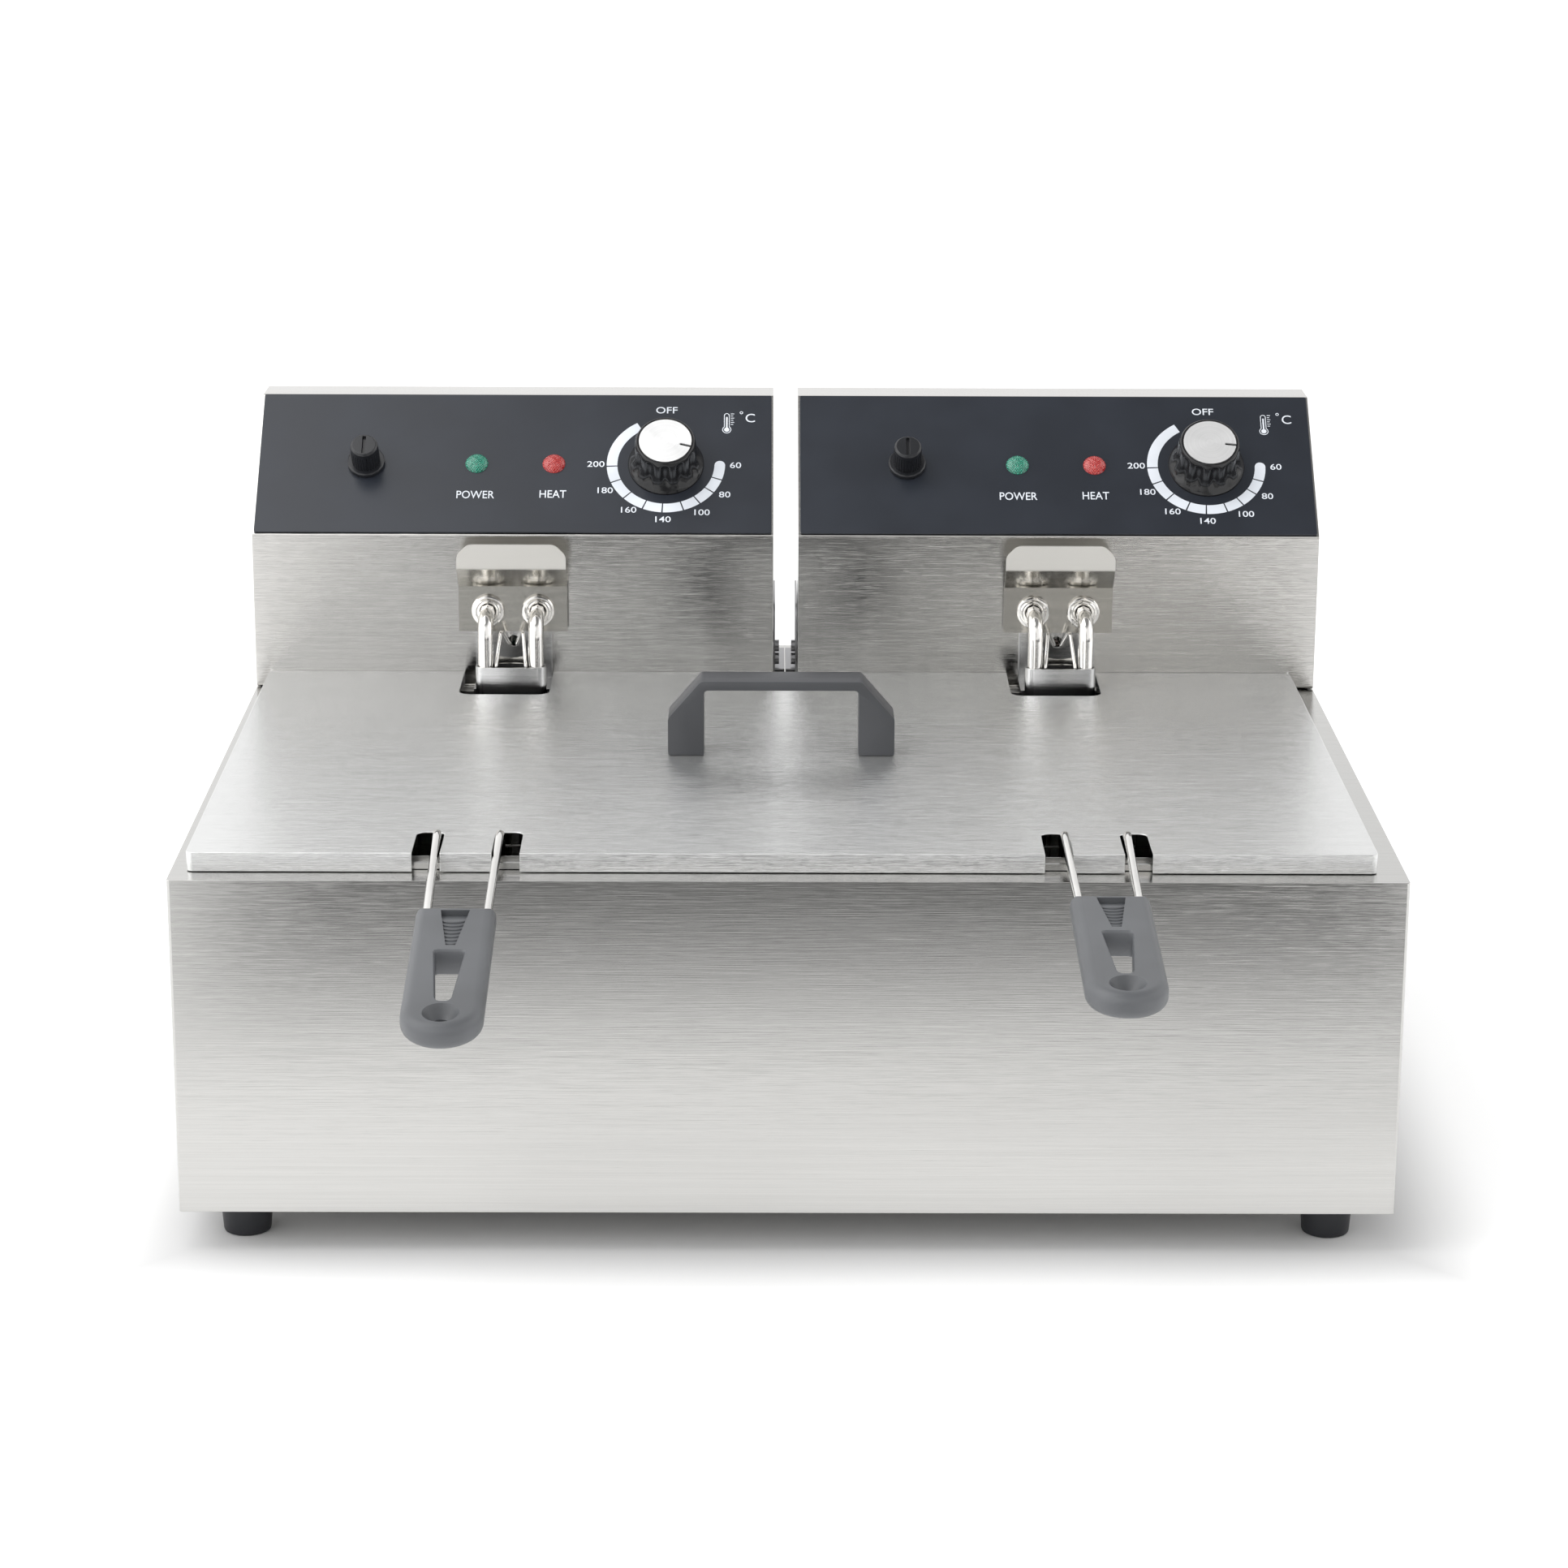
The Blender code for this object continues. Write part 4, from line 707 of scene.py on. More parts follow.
def gripMesh(name):
    half = gripSizes["thick"] / 2
    edge = gripSizes["round"]
    turns = [math.pi / 2 * step / 6 for step in range(7)]
    under = [gripOutline(edge * (1 - math.sin(a)), -half + edge * (1 - math.cos(a))) for a in turns]
    over = [gripOutline(edge * (1 - math.cos(a)), half - edge * (1 - math.sin(a))) for a in turns]
    body = loftMesh(under + over, name)
    near, far = gripSizes["slot"]
    wide, narrow = gripSizes["slotHalf"]
    slot = [
        (-wide + 0.002, -near), (-wide + 0.0004, -near - 0.0006), (-wide, -near - 0.002),
        (-narrow, -far + 0.003), (-narrow + 0.0008, -far + 0.0008), (-narrow + 0.002, -far),
    ]
    slot = slot + [(-x, y) for x, y in reversed(slot)]
    flare = [(-half - 0.001, 0.0007), (-half + 0.0008, 0.0), (half - 0.0012, 0.0), (half - 0.0003, 0.0005),
             (half + 0.001, 0.0018)]
    middle = -(near + far) / 2
    rings = []
    for level, more in flare:
        rings.append([(x * (1 + more / wide), middle + (y - middle) * (1 + more / (far - near) * 2), level)
                      for x, y in slot])
    cutters = [loftMesh(rings, "slotCutter")]
    deep = half - gripSizes["bowlDeep"]
    bowl = [(0, -half - 0.001), (gripSizes["holeRadius"], -half - 0.001), (gripSizes["holeRadius"], deep),
            (gripSizes["bowl"] * 0.72, deep + 0.0014), (gripSizes["bowl"] * 0.92, half - 0.0014),
            (gripSizes["bowl"] * 1.04, half), (gripSizes["bowl"] * 1.12, half + 0.001), (0, half + 0.001)]
    cutters.append(spun(bowl, "bowlCutter", 32, Matrix.Translation((0, -gripSizes["hole"], 0))))
    start, stop = gripSizes["thumb"]
    wide, narrow = gripSizes["thumbHalf"]
    thumb = [(-wide, -start), (-narrow, -stop), (narrow, -stop), (wide, -start)]
    cutters.append(slab(thumb, half - gripSizes["recess"], half + 0.001, "thumbCutter"))
    scoop = [(-wide, -start, half - 0.0030), (-wide * 0.86, -start - 0.0075, half - 0.0011),
             (wide * 0.86, -start - 0.0075, half - 0.0011), (wide, -start, half - 0.0030)]
    cutters.append(loftMesh([scoop, [(x, y, half + 0.001) for x, y, z in scoop]], "scoopCutter"))
    obj = bpy.data.objects.new(name + "_work", body)
    bpy.context.scene.collection.objects.link(obj)
    helpers = []
    for cutter in cutters:
        helper = bpy.data.objects.new(cutter.name, cutter)
        bpy.context.scene.collection.objects.link(helper)
        cut = obj.modifiers.new(cutter.name, "BOOLEAN")
        cut.operation = "DIFFERENCE"
        cut.solver = "EXACT"
        cut.object = helper
        helpers.append(helper)
    mesh = baked(obj, name)
    for helper in helpers:
        bpy.data.objects.remove(helper)
    shadeByAngle(mesh, 34)
    return mesh


for side in sides:
    name = "grip_" + side + "_rounded"
    mesh = gripMesh(name)
    mesh.transform(gripPlace(side))
    newPiece(name, mesh, "gripPlastic", side + "_basket", "grey_plastic", "basket_grip_" + side)


def ribTree():
    labels = {
        "Count": 7, "From": 0.0135, "To": 0.0335,
        "Wide": 0.0096, "Narrow": 0.0042, "Wire": 0.0006, "Level": 0.0,
    }
    group, tree, given = newTree("thumbRibs", labels)
    start = tree.node("ShaderNodeCombineXYZ", None, {1: given["From"] * -1.0, 2: given["Level"]})
    end = tree.node("ShaderNodeCombineXYZ", None, {1: given["To"] * -1.0, 2: given["Level"]})
    row = tree.node("GeometryNodeMeshLine", {"mode": "END_POINTS"},
                    {"Count": given["Count"], "Start Location": start, "Offset": end})
    inputs = {"Resolution": 10, "Start": (-0.5, 0.0, 0.0)}
    inputs.update({"Middle": (0.0, -0.24, 0.0), "End": (0.5, 0.0, 0.0)})
    bow = tree.node("GeometryNodeCurveQuadraticBezier", None, inputs)
    share = tree.node("GeometryNodeInputIndex") / (given["Count"] - 1.0)
    width = given["Wide"] + (given["Narrow"] - given["Wide"]) * share
    scale = tree.node("ShaderNodeCombineXYZ", None, {0: width, 1: width, 2: 1.0})
    inputs = {"Points": row, "Instance": bow, "Scale": scale}
    placed = row.node("GeometryNodeInstanceOnPoints", None, inputs)
    ribs = tubeNodes(placed.node("GeometryNodeRealizeInstances", None, {0: placed}), given["Wire"], 8)
    ribs = ribs.node("GeometryNodeSetShadeSmooth", None, {0: ribs})
    finishTree(group, ribs, "gripPlastic")
    return group


ribs = ribTree()
for side in sides:
    floorLevel = gripSizes["thick"] / 2 - gripSizes["recess"]
    values = {
        "Count": gripSizes["ribs"], "From": gripSizes["ribFrom"], "To": gripSizes["ribTo"],
        "Wide": gripSizes["wide"], "Narrow": gripSizes["narrow"], "Wire": gripSizes["ribWire"],
        "Level": floorLevel + 0.0001,
    }
    mesh = grown(ribs, "grip_ribs_" + side, values)
    mesh.transform(gripPlace(side))
    newPiece("grip_ribs_" + side, mesh, "gripPlastic", side + "_basket", "grey_plastic")
print("grip ribs set")


# dials

dialSizes = {
    "across": 0.079, "radius": 0.0200, "grip": 0.0163, "height": 0.022, "flutes": 12, "flute": 0.0016,
    "cap": 0.0137, "turn": {"left": 105, "right": 97},
}


def dialPlace(side, out=0.0):
    turn = Matrix.Rotation(math.radians(-dialSizes["turn"][side]), 4, "Z")
    return panelPlace(side, dialSizes["across"], panelSizes["row"]) @ turn @ Matrix.Translation((0, 0, out))


def dialMesh(name, place):
    # rings of points from the bore's rim round the skirt and up the flutes to the seat of the disc
    grip = dialSizes["grip"]
    tall = dialSizes["height"]
    cap = dialSizes["cap"] + 0.0003
    skirt = dialSizes["radius"]
    levels = [
        (0.0035, 0.0006, 0), (skirt - 0.0007, 0.0006, 0), (skirt - 0.0001, 0.0010, 0),
        (skirt, 0.0017, 0), (skirt - 0.0003, 0.0024, 0), (skirt - 0.0012, 0.0034, 0),
        (grip + 0.0016, 0.0046, 0.1), (grip + 0.0008, 0.0060, 0.45), (grip + 0.0004, 0.0078, 0.85),
        (grip + 0.0002, 0.0100, 1), (grip, 0.0150, 1), (grip - 0.0002, 0.0178, 1),
        (grip - 0.0003, 0.0190, 0.75), (grip - 0.0004, 0.0200, 0.3), (grip - 0.0007, 0.0208, 0.05),
        (grip - 0.0011, tall - 0.0004, 0), (grip - 0.0016, tall, 0), (cap + 0.0002, tall, 0),
        (cap, tall - 0.0002, 0), (cap, tall - 0.0009, 0), (0.0, tall - 0.0009, 0),
    ]
    steps = dialSizes["flutes"] * 14
    work = bmesh.new()
    rings = []
    for radius, height, depth in levels:
        if radius == 0:
            rings.append([work.verts.new((0, 0, height))])
            continue
        ring = []
        for step in range(steps):
            phase = step % 14 / 14
            hollow = max(0.0, 1 - (2 * abs(phase - 0.5) / 0.62) ** 2)
            here = radius - depth * dialSizes["flute"] * hollow
            angle = 2 * math.pi * step / steps
            ring.append(work.verts.new((here * math.cos(angle), here * math.sin(angle), height)))
        rings.append(ring)
    skinRings(work, rings, steps)
    work.faces.new(list(reversed(rings[0])))
    bmesh.ops.recalc_face_normals(work, faces=work.faces)
    mesh = meshFrom(work, name)
    mesh.transform(place)
    shadeByAngle(mesh, 38)
    return mesh


def discMesh(name, place):
    # the spun disc, with the pointer notch cut in from its edge
    radius = dialSizes["cap"]
    notch = 0.0007
    reach = 0.0052
    start = math.asin(notch / radius)
    turns = [math.pi / 2 + start + (2 * math.pi - 2 * start) * step / 96 for step in range(97)]
    edge = [(radius * math.cos(a), radius * math.sin(a)) for a in turns]
    inner = radius - reach
    bends = [-math.pi * step / 6 for step in range(7)]
    tip = [(notch * math.cos(a), inner + notch * math.sin(a)) for a in bends]
    mesh = slab([*edge, *tip], dialSizes["height"] - 0.0008, dialSizes["height"] + 0.00005, name)
    mesh.transform(place)
    return mesh


for side in sides:
    body = side + "_knob"
    newPiece("dial_" + side, dialMesh("dial_" + side, dialPlace(side)), "knobPlastic", body, "black_gloss",
             "knob_" + side)
    centre = dialPlace(side) @ Vector((0, 0, dialSizes["height"]))
    spin = spunFinish("spunDisc_" + side, centre)
    disc = discMesh("dial_disc_" + side, dialPlace(side))
    shadeByAngle(disc, 30)
    newPiece("dial_disc_" + side, disc, spin, body, "aluminium", "knob_cap_" + side)
print("dials made")


# lamps

lampSizes = {
    "green": -0.0203, "red": 0.0202, "flange": 0.0073, "dome": 0.0060,
    "lift": 0.0012, "rise": 0.0032, "facets": 0.0013, "cut": 0.00032,
}


def lampMesh(name, place):
    # a flange and a dome whose skin is cut into diamonds
    flange = lampSizes["flange"]
    dome = lampSizes["dome"]
    lift = lampSizes["lift"]
    profile = [(0, -0.013), (dome - 0.0004, -0.013), (dome - 0.0004, 0.0003), (flange - 0.0002, 0.0003),
               (flange, 0.0005), (flange, lift - 0.0003), (flange - 0.0003, lift), (dome + 0.0007, lift),
               (dome + 0.0004, lift - 0.0002), (dome + 0.0001, lift)]
    levels = 16
    for step in range(levels + 1):
        angle = math.pi / 2 * step / levels
        radius = dome * math.cos(angle) if step < levels else 0.0
        profile.append((radius, lift + lampSizes["rise"] * math.sin(angle)))
    mesh = spun(profile, name, 72)
    heights = []
    pitch = lampSizes["facets"]
    for vertex in mesh.vertices:
        x, y, z = vertex.co
        height = 0.0
        if z > lift + 0.0001 and math.hypot(x, y) < dome - 0.0001:
            u = abs(((x + y) / pitch) % 1 - 0.5) * 2
            v = abs(((x - y) / pitch) % 1 - 0.5) * 2
            height = 1 - max(u, v)
            vertex.co.z = z - lampSizes["cut"] * (1 - height)
        heights.append(height if z > lift + 0.0001 else 0.35)
    facet = mesh.attributes.new("facet", "FLOAT", "POINT")
    facet.data.foreach_set("value", heights)
    mesh.transform(place)
    shadeByAngle(mesh, 24)
    return mesh


for side in sides:
    for colour in ("green", "red"):
        node = f"lamp_{colour}_{side}"
        place = panelPlace(side, lampSizes[colour], panelSizes["row"])
        name = node + "_lens"
        newPiece(name, lampMesh(name, place), colour + "Lens", side + "_head", colour + "_lens", node)
print("lamps cut")


# fuse caps: fine ribs round the side

fuseSizes = {"across": -0.0783, "radius": 0.0071, "low": 0.0040, "high": 0.0142, "ribs": 30, "rib": 0.0005}


def roundRibTree():
    labels = {"Count": 30, "Radius": 0.007, "Low": 0.004, "High": 0.014, "Rib": 0.0005}
    group, tree, given = newTree("roundRibs", labels)
    inputs = {"Vertices": given["Count"], "Radius": given["Radius"]}
    circle = tree.node("GeometryNodeMeshCircle", None, inputs)
    bottom = tree.node("ShaderNodeCombineXYZ", None, {2: given["Low"]})
    top = tree.node("ShaderNodeCombineXYZ", None, {2: given["High"]})
    line = tree.node("GeometryNodeCurvePrimitiveLine", None, {"Start": bottom, "End": top})
    bar = tubeNodes(line, given["Rib"], 6)
    placed = circle.node("GeometryNodeInstanceOnPoints", None, {"Points": circle, "Instance": bar})
    finishTree(group, placed, "fusePlastic")
    return group


roundRibs = roundRibTree()
for side in sides:
    values = {"Count": fuseSizes["ribs"], "Radius": fuseSizes["radius"] - fuseSizes["rib"] * 0.45,
              "Low": fuseSizes["low"], "High": fuseSizes["high"], "Rib": fuseSizes["rib"]}
    mesh = grown(roundRibs, "fuse_ribs_" + side, values)
    mesh.transform(panelPlace(side, fuseSizes["across"], panelSizes["row"]))
    shadeByAngle(mesh, 40)
    newPiece("fuse_ribs_" + side, mesh, "fusePlastic", side + "_fuse_cap", "black_gloss")
print("fuse caps ribbed")


# printing on the panels

printSizes = {
    "ringOuter": 0.0311, "ringInner": 0.0255, "gap": 0.00035, "thin": 0.00004, "lift": 0.00003,
    "marks": (2.7, 22.7, 45.2, 67.4, 87, 108, 125.7, 144, 161), "from": -60, "to": 179,
    "figure": 0.0042, "word": 0.0050, "small": 0.0043,
    "figures": {
        "200": (-0.0368, 0), "180": (-0.0315, -0.017), "160": (-0.019, -0.0295),
        "140": (-0.001, -0.0355), "100": (0.0193, -0.031), "80": (0.031, -0.0195),
        "60": (0.0366, -0.0005),
    },
}


def lettering(text, high, across, up, stretch=1.0, heavy=0.0):
    # generic words and figures, drawn with the plain built-in letters
    curve = bpy.data.curves.new("letters", "FONT")
    curve.body = text
    curve.align_x = "CENTER"
    curve.align_y = "CENTER"
    curve.size = high / 0.72
    curve.extrude = printSizes["thin"] / 2
    curve.offset = heavy
    curve.resolution_u = 4
    obj = bpy.data.objects.new("letters_work", curve)
    bpy.context.scene.collection.objects.link(obj)
    mesh = baked(obj, "letters")
    mesh.transform(Matrix.Diagonal((stretch, 1, 1, 1)))
    points = np.array([vertex.co[:] for vertex in mesh.vertices])
    middle = (points.max(axis=0) + points.min(axis=0)) / 2
    mesh.transform(Matrix.Translation((across - middle[0], up - middle[1], 0)))
    return welded(mesh)


def arcPoints(radius, start, end, steps):
    turns = [math.radians(start + (end - start) * step / steps) for step in range(steps + 1)]
    return [(-radius * math.cos(a), -radius * math.sin(a)) for a in turns]


def scaleMeshes(across, up):
    # the broken band round the dial
    sizes = printSizes
    outer = sizes["ringOuter"]
    inner = sizes["ringInner"]
    middle = (outer + inner) / 2
    stops = [sizes["from"], *sizes["marks"], sizes["to"]]
    half = math.degrees(sizes["gap"] / middle)
    made = []
    for number, (start, end) in enumerate(zip(stops, stops[1:])):
        start = start if number == 0 else start + half
        last = number == len(stops) - 2
        end = end if last else end - half
        steps = max(4, int(abs(end - start) / 3))
        outline = arcPoints(outer, start, end, steps)
        if last:
            turn = math.radians(end)
            centre = (-middle * math.cos(turn), -middle * math.sin(turn))
            size = (outer - inner) / 2
            for step in range(1, 10):
                angle = turn + math.pi + math.pi * step / 10
                outline.append((centre[0] + size * math.cos(angle), centre[1] + size * math.sin(angle)))
        outline += reversed(arcPoints(inner, start, end, steps))
        shifted = [(x + across, y + up) for x, y in outline]
        made.append(slab(shifted, -sizes["thin"] / 2, sizes["thin"] / 2, "band"))
    return made


def capsule(wide, bulb, neck, tip, steps=10):
    # a thermometer's outline, bulb at the bottom
    half = wide / 2
    join = math.asin(half / bulb)
    points = []
    for step in range(steps * 2 + 1):
        angle = math.pi / 2 - join - (2 * math.pi - 2 * join) * step / (steps * 2)
        points.append((bulb * math.cos(angle), neck + bulb * math.sin(angle)))
    for step in range(steps + 1):
        angle = math.pi - math.pi * step / steps
        points.append((half * math.cos(angle), tip - half + half * math.sin(angle)))
    return points


def thermometerMeshes(across, up):
    thin = printSizes["thin"] / 2
    line = 0.0004
    low = -0.0042

    def moved(points):
        return [(x + across, y + up) for x, y in points]

    outer = capsule(0.0030, 0.0024, low, 0.0066)
    hole = capsule(0.0030 - line * 2, 0.0024 - line, low, 0.0066 - line)
    made = [slab(moved(outer), -thin, thin, "glass", [moved(hole)])]
    core = capsule(0.0008, 0.0014, low, 0.0042)
    made.append(slab(moved(core), -thin, thin, "column"))
    for step in range(6):
        y = 0.0062 - step * 0.0014
        wide = 0.0018 if step % 2 == 0 else 0.0013
        near, half = 0.0021, 0.0002
        tick = [(near, y - half), (near + wide, y - half), (near + wide, y + half), (near, y + half)]
        made.append(slab(moved(tick), -thin, thin, "tick"))
    return made


def panelPrint(side):
    sizes = printSizes
    across = dialSizes["across"]
    row = panelSizes["row"]
    made = scaleMeshes(across, row)
    for figure, (dx, dy) in sizes["figures"].items():
        made.append(lettering(figure, sizes["figure"] * 0.90, across + dx, row + dy, 1.2, 0.00003))
    made.append(lettering("OFF", sizes["small"], across, 0.0805, 1.12, 0.00003))
    made.append(lettering("POWER", sizes["word"], -0.0203, 0.0250, 0.83, 0.00003))
    made.append(lettering("HEAT", sizes["word"], 0.0202, 0.0255, 0.83, 0.00003))
    made.append(lettering("C", 0.0058, 0.1232, 0.0755, 1.0))
    dot = arcPoints(0.0009, 0, 360, 20)[:-1]
    hole = arcPoints(0.0005, 0, 360, 20)[:-1]
    degree = [[(x + 0.1185, y + 0.0790) for x, y in points] for points in (dot, hole)]
    made.append(slab(degree[0], -sizes["thin"] / 2, sizes["thin"] / 2, "degree", [degree[1]]))
    made += thermometerMeshes(0.1108, 0.0720)
    mesh = joined(made, "panel_print_" + side)
    mesh.transform(panelPlace(side, 0, 0, panelSizes["lift"] + sizes["lift"] + sizes["thin"] / 2))
    return mesh


for side in sides:
    newPiece("panel_print_" + side, panelPrint(side), "printInk", side + "_head", "black_panel")
print("panels printed")


# element fittings and the small clip between the tubes

fittingSizes = {"flange": 0.0085, "barrel": 0.0058, "bore": 0.0042, "thick": 0.0032}


def fittingMesh(node):
    low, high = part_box(node)
    sizes = fittingSizes
    face = 0.0
    back = high.y - low.y
    thick = sizes["thick"]
    flange = sizes["flange"]
    barrel = sizes["barrel"]
    bore = sizes["bore"]
    profile = [
        (bore, -back), (barrel, -back), (barrel, -thick), (flange - 0.0003, -thick),
        (flange, -thick + 0.0003), (flange, -0.0016), (flange - 0.0004, -0.0011),
        (flange - 0.0014, -0.0009), (barrel + 0.0011, -0.0009), (barrel + 0.0008, -0.0004),
        (barrel + 0.0004, face), (barrel - 0.0004, face), (bore + 0.0006, -0.0004),
        (bore, -0.0010), (bore, -back),
    ]
    centre = (low + high) / 2
    facing = Matrix.Translation((centre.x, low.y, centre.z)) @ Matrix.Rotation(math.pi / 2, 4, "X")
    mesh = welded(spun(profile, node + "_turned", 48, facing))
    shadeByAngle(mesh, 30)
    return mesh


for node in sorted(name for name in nodes if name.startswith("element_fitting_")):
    newPiece(node + "_turned", fittingMesh(node), "tubeMetal", bodyOf[node], "bright_wire", node)


clipSizes = {"wide": 0.0168, "tall": 0.0056, "sheet": 0.0006, "bow": 0.0022, "drop": 0.0135}


def clipMesh(side, name):
    # a curved band across the back of the probes, just above the strap
    strapLow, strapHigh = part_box("element_strap_" + side)
    sizes = clipSizes
    x = (strapLow.x + strapHigh.x) / 2
    y = strapHigh.y - 0.0012
    z = strapHigh.z - 0.001
    steps = 14
    work = bmesh.new()
    layers = []
    for away in (0, sizes["sheet"]):
        for level in (0, sizes["tall"]):
            row = []
            for step in range(steps + 1):
                share = step / steps * 2 - 1
                bow = sizes["bow"] * (1 - share * share)
                lift = level - sizes["bow"] * 0.8 * (1 - share * share)
                row.append(work.verts.new((x + share * sizes["wide"] / 2, y + away + bow * 0.6, z + lift)))
            layers.append(row)
    front, frontTop, back, backTop = layers
    for step in range(steps):
        for a, b in ((front, frontTop), (frontTop, backTop), (backTop, back), (back, front)):
            work.faces.new((a[step], a[step + 1], b[step + 1], b[step]))
    for step in (0, steps):
        work.faces.new((front[step], frontTop[step], backTop[step], back[step]))
    bmesh.ops.recalc_face_normals(work, faces=work.faces)
    mesh = meshFrom(work, name)
    shadeByAngle(mesh, 40)
    return mesh


for side in sides:
    name = "probe_clip_" + side
    newPiece(name, clipMesh(side, name), "bracketSteel", side + "_head", "stainless_steel")
print("fittings and clips made")


# screws

screwSizes = {"radius": 0.0028, "dome": 0.0014, "slot": 0.0004}


def screwHead():
    # a pan head with a cross cut in it, used wherever a screw shows
    radius = screwSizes["radius"]
    dome = screwSizes["dome"]
    profile = [(0, -0.0004), (radius, -0.0004), (radius, 0.0003), (radius * 0.93, dome * 0.62),
               (radius * 0.7, dome * 0.9), (radius * 0.4, dome), (0, dome)]
    head = bpy.data.objects.new("screw_seed", spun(profile, "screw_seed", 20))
    bpy.context.scene.collection.objects.link(head)
    cutters = []
    for turn in (0, 90):
        size = (radius * 1.1, screwSizes["slot"] * 2, 0.0012)
        place = Matrix.Translation((0, 0, dome)) @ Matrix.Rotation(math.radians(turn), 4, "Z")
        work = bmesh.new()
        bmesh.ops.create_cube(work, size=1.0)
        bmesh.ops.scale(work, vec=size, verts=work.verts)
        mesh = bpy.data.meshes.new("cross")
        work.to_mesh(mesh)
        work.free()
        mesh.transform(place)
        cutter = bpy.data.objects.new("cross_work", mesh)
        bpy.context.scene.collection.objects.link(cutter)
        cutters.append(cutter)
        cross = head.modifiers.new("cross", "BOOLEAN")
        cross.operation = "DIFFERENCE"
        cross.object = cutter
    mesh = baked(head, "screw_seed")
    for cutter in cutters:
        bpy.data.objects.remove(cutter)
    seed = bpy.data.objects.new("screw_seed", mesh)
    bpy.context.scene.collection.objects.link(seed)
    return seed


def screwTree():
    group, tree, given = newTree("screwRow", {"Screw": None, "Turn": 0.7})
    start = Socket(group, group.nodes["Group Input"].outputs[0])
    info = tree.node("GeometryNodeObjectInfo", None, {"Object": given["Screw"]}, out="Geometry")
    normal = tree.node("GeometryNodeInputNamedAttribute", {"data_type": "FLOAT_VECTOR"}, {"Name": "out"})
    aim = tree.node("FunctionNodeAlignRotationToVector", {"axis": "Z"}, {"Vector": normal})
    inputs = {"Points": start, "Instance": info, "Rotation": aim}
    placed = tree.node("GeometryNodeInstanceOnPoints", None, inputs)
    turned = tree.node("GeometryNodeInputIndex") * given["Turn"]
    spin = tree.node("ShaderNodeCombineXYZ", None, {2: turned})
    placed = placed.node("GeometryNodeRotateInstances", None, {"Instances": placed, "Rotation": spin})
    finishTree(group, placed, "boltMetal")
    return group


def screwSpots(spots, name):
    # one point for each screw, with the way it faces kept beside it
    mesh = bpy.data.meshes.new(name)
    mesh.from_pydata([spot for spot, _ in spots], [], [])
    out = mesh.attributes.new("out", "FLOAT_VECTOR", "POINT")
    out.data.foreach_set("vector", [value for _, way in spots for value in way])
    return mesh


screwGroup = screwTree()
seed = screwHead()


def setScrews(name, body, spots):
    mesh = grown(screwGroup, name, {"Screw": seed, "Turn": 0.7}, screwSpots(spots, name + "_spots"))
    shadeByAngle(mesh, 35)
    newPiece(name, mesh, "boltMetal", body, "bright_wire")


for side in sides:
    low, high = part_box("back_cover_" + side)
    inset = 0.0045
    middle = (low.x + high.x) / 2
    tall = (low.z + high.z) / 2
    back = high.y
    spots = [((x, back, z), (0, 1, 0)) for x in (low.x + inset, high.x - inset)
             for z in (low.z + inset, tall, high.z - inset)]
    spots += [((middle, back, z), (0, 1, 0)) for z in (low.z + inset, high.z - inset)]
    setScrews("cover_screws_" + side, side + "_head", spots)

low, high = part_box("base_plate")
inset = 0.006
baseSpots = [((x, y, low.z), (0, 0, -1)) for x in (low.x + inset, (low.x + high.x) / 2, high.x - inset)
             for y in (low.y + inset, high.y - inset)]
baseSpots += [((x, (low.y + high.y) / 2, low.z), (0, 0, -1)) for x in (low.x + inset, high.x - inset)]
setScrews("base_screws", "body", baseSpots)

low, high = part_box("lid_handle")
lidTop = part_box("lid")[1].z
under = lidTop - 0.0008
handleSpots = [((x, (low.y + high.y) / 2, under), (0, 0, -1)) for x in (low.x + 0.0095, high.x - 0.0095)]
setScrews("handle_screws", "lid_assembly", handleSpots)
bpy.data.objects.remove(seed)
print("screws set")


# weld beads at the body's bottom corners

weldSizes = {"radius": 0.0007, "step": 0.0011, "beads": 16, "height": 0.0004}


def weldTree():
    labels = {"Count": 16, "Step": 0.0011, "Radius": 0.0007, "Place": (0.0, 0.0, 0.0)}
    group, tree, given = newTree("weldBeads", labels)
    offset = tree.node("ShaderNodeCombineXYZ", None, {0: given["Step"]})
    inputs = {"Count": given["Count"], "Start Location": given["Place"], "Offset": offset}
    row = tree.node("GeometryNodeMeshLine", None, inputs)
    inputs = {"Min": (0.6, 0.6, 0.5), "Max": (1.3, 1.0, 1.0), "Seed": 4}
    size = tree.node("FunctionNodeRandomValue", {"data_type": "FLOAT_VECTOR"}, inputs)
    bead = tree.node("GeometryNodeMeshIcoSphere", None, {"Radius": given["Radius"], "Subdivisions": 2})
    inputs = {"Points": row, "Instance": bead, "Scale": size}
    placed = row.node("GeometryNodeInstanceOnPoints", None, inputs)
    smooth = placed.node("GeometryNodeSetShadeSmooth", None, {0: placed})
    finishTree(group, smooth, "boltMetal")
    return group


low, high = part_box("body_shell")
weld = weldTree()
beads = []
for number, x in enumerate((low.x + 0.002, high.x - 0.002 - weldSizes["beads"] * weldSizes["step"])):
    values = {"Count": weldSizes["beads"], "Step": weldSizes["step"], "Radius": weldSizes["radius"],
              "Place": (x, low.y + 0.0009, low.z + weldSizes["height"])}
    beads.append(grown(weld, "weld", values))
newPiece("weld_beads", joined(beads, "weld_beads"), "boltMetal", "body", "stainless_steel")
print("welds laid")


# floor, light and camera

studioSizes = {"floor": 30, "flag": (3, -4, -0.28, 0.003)}


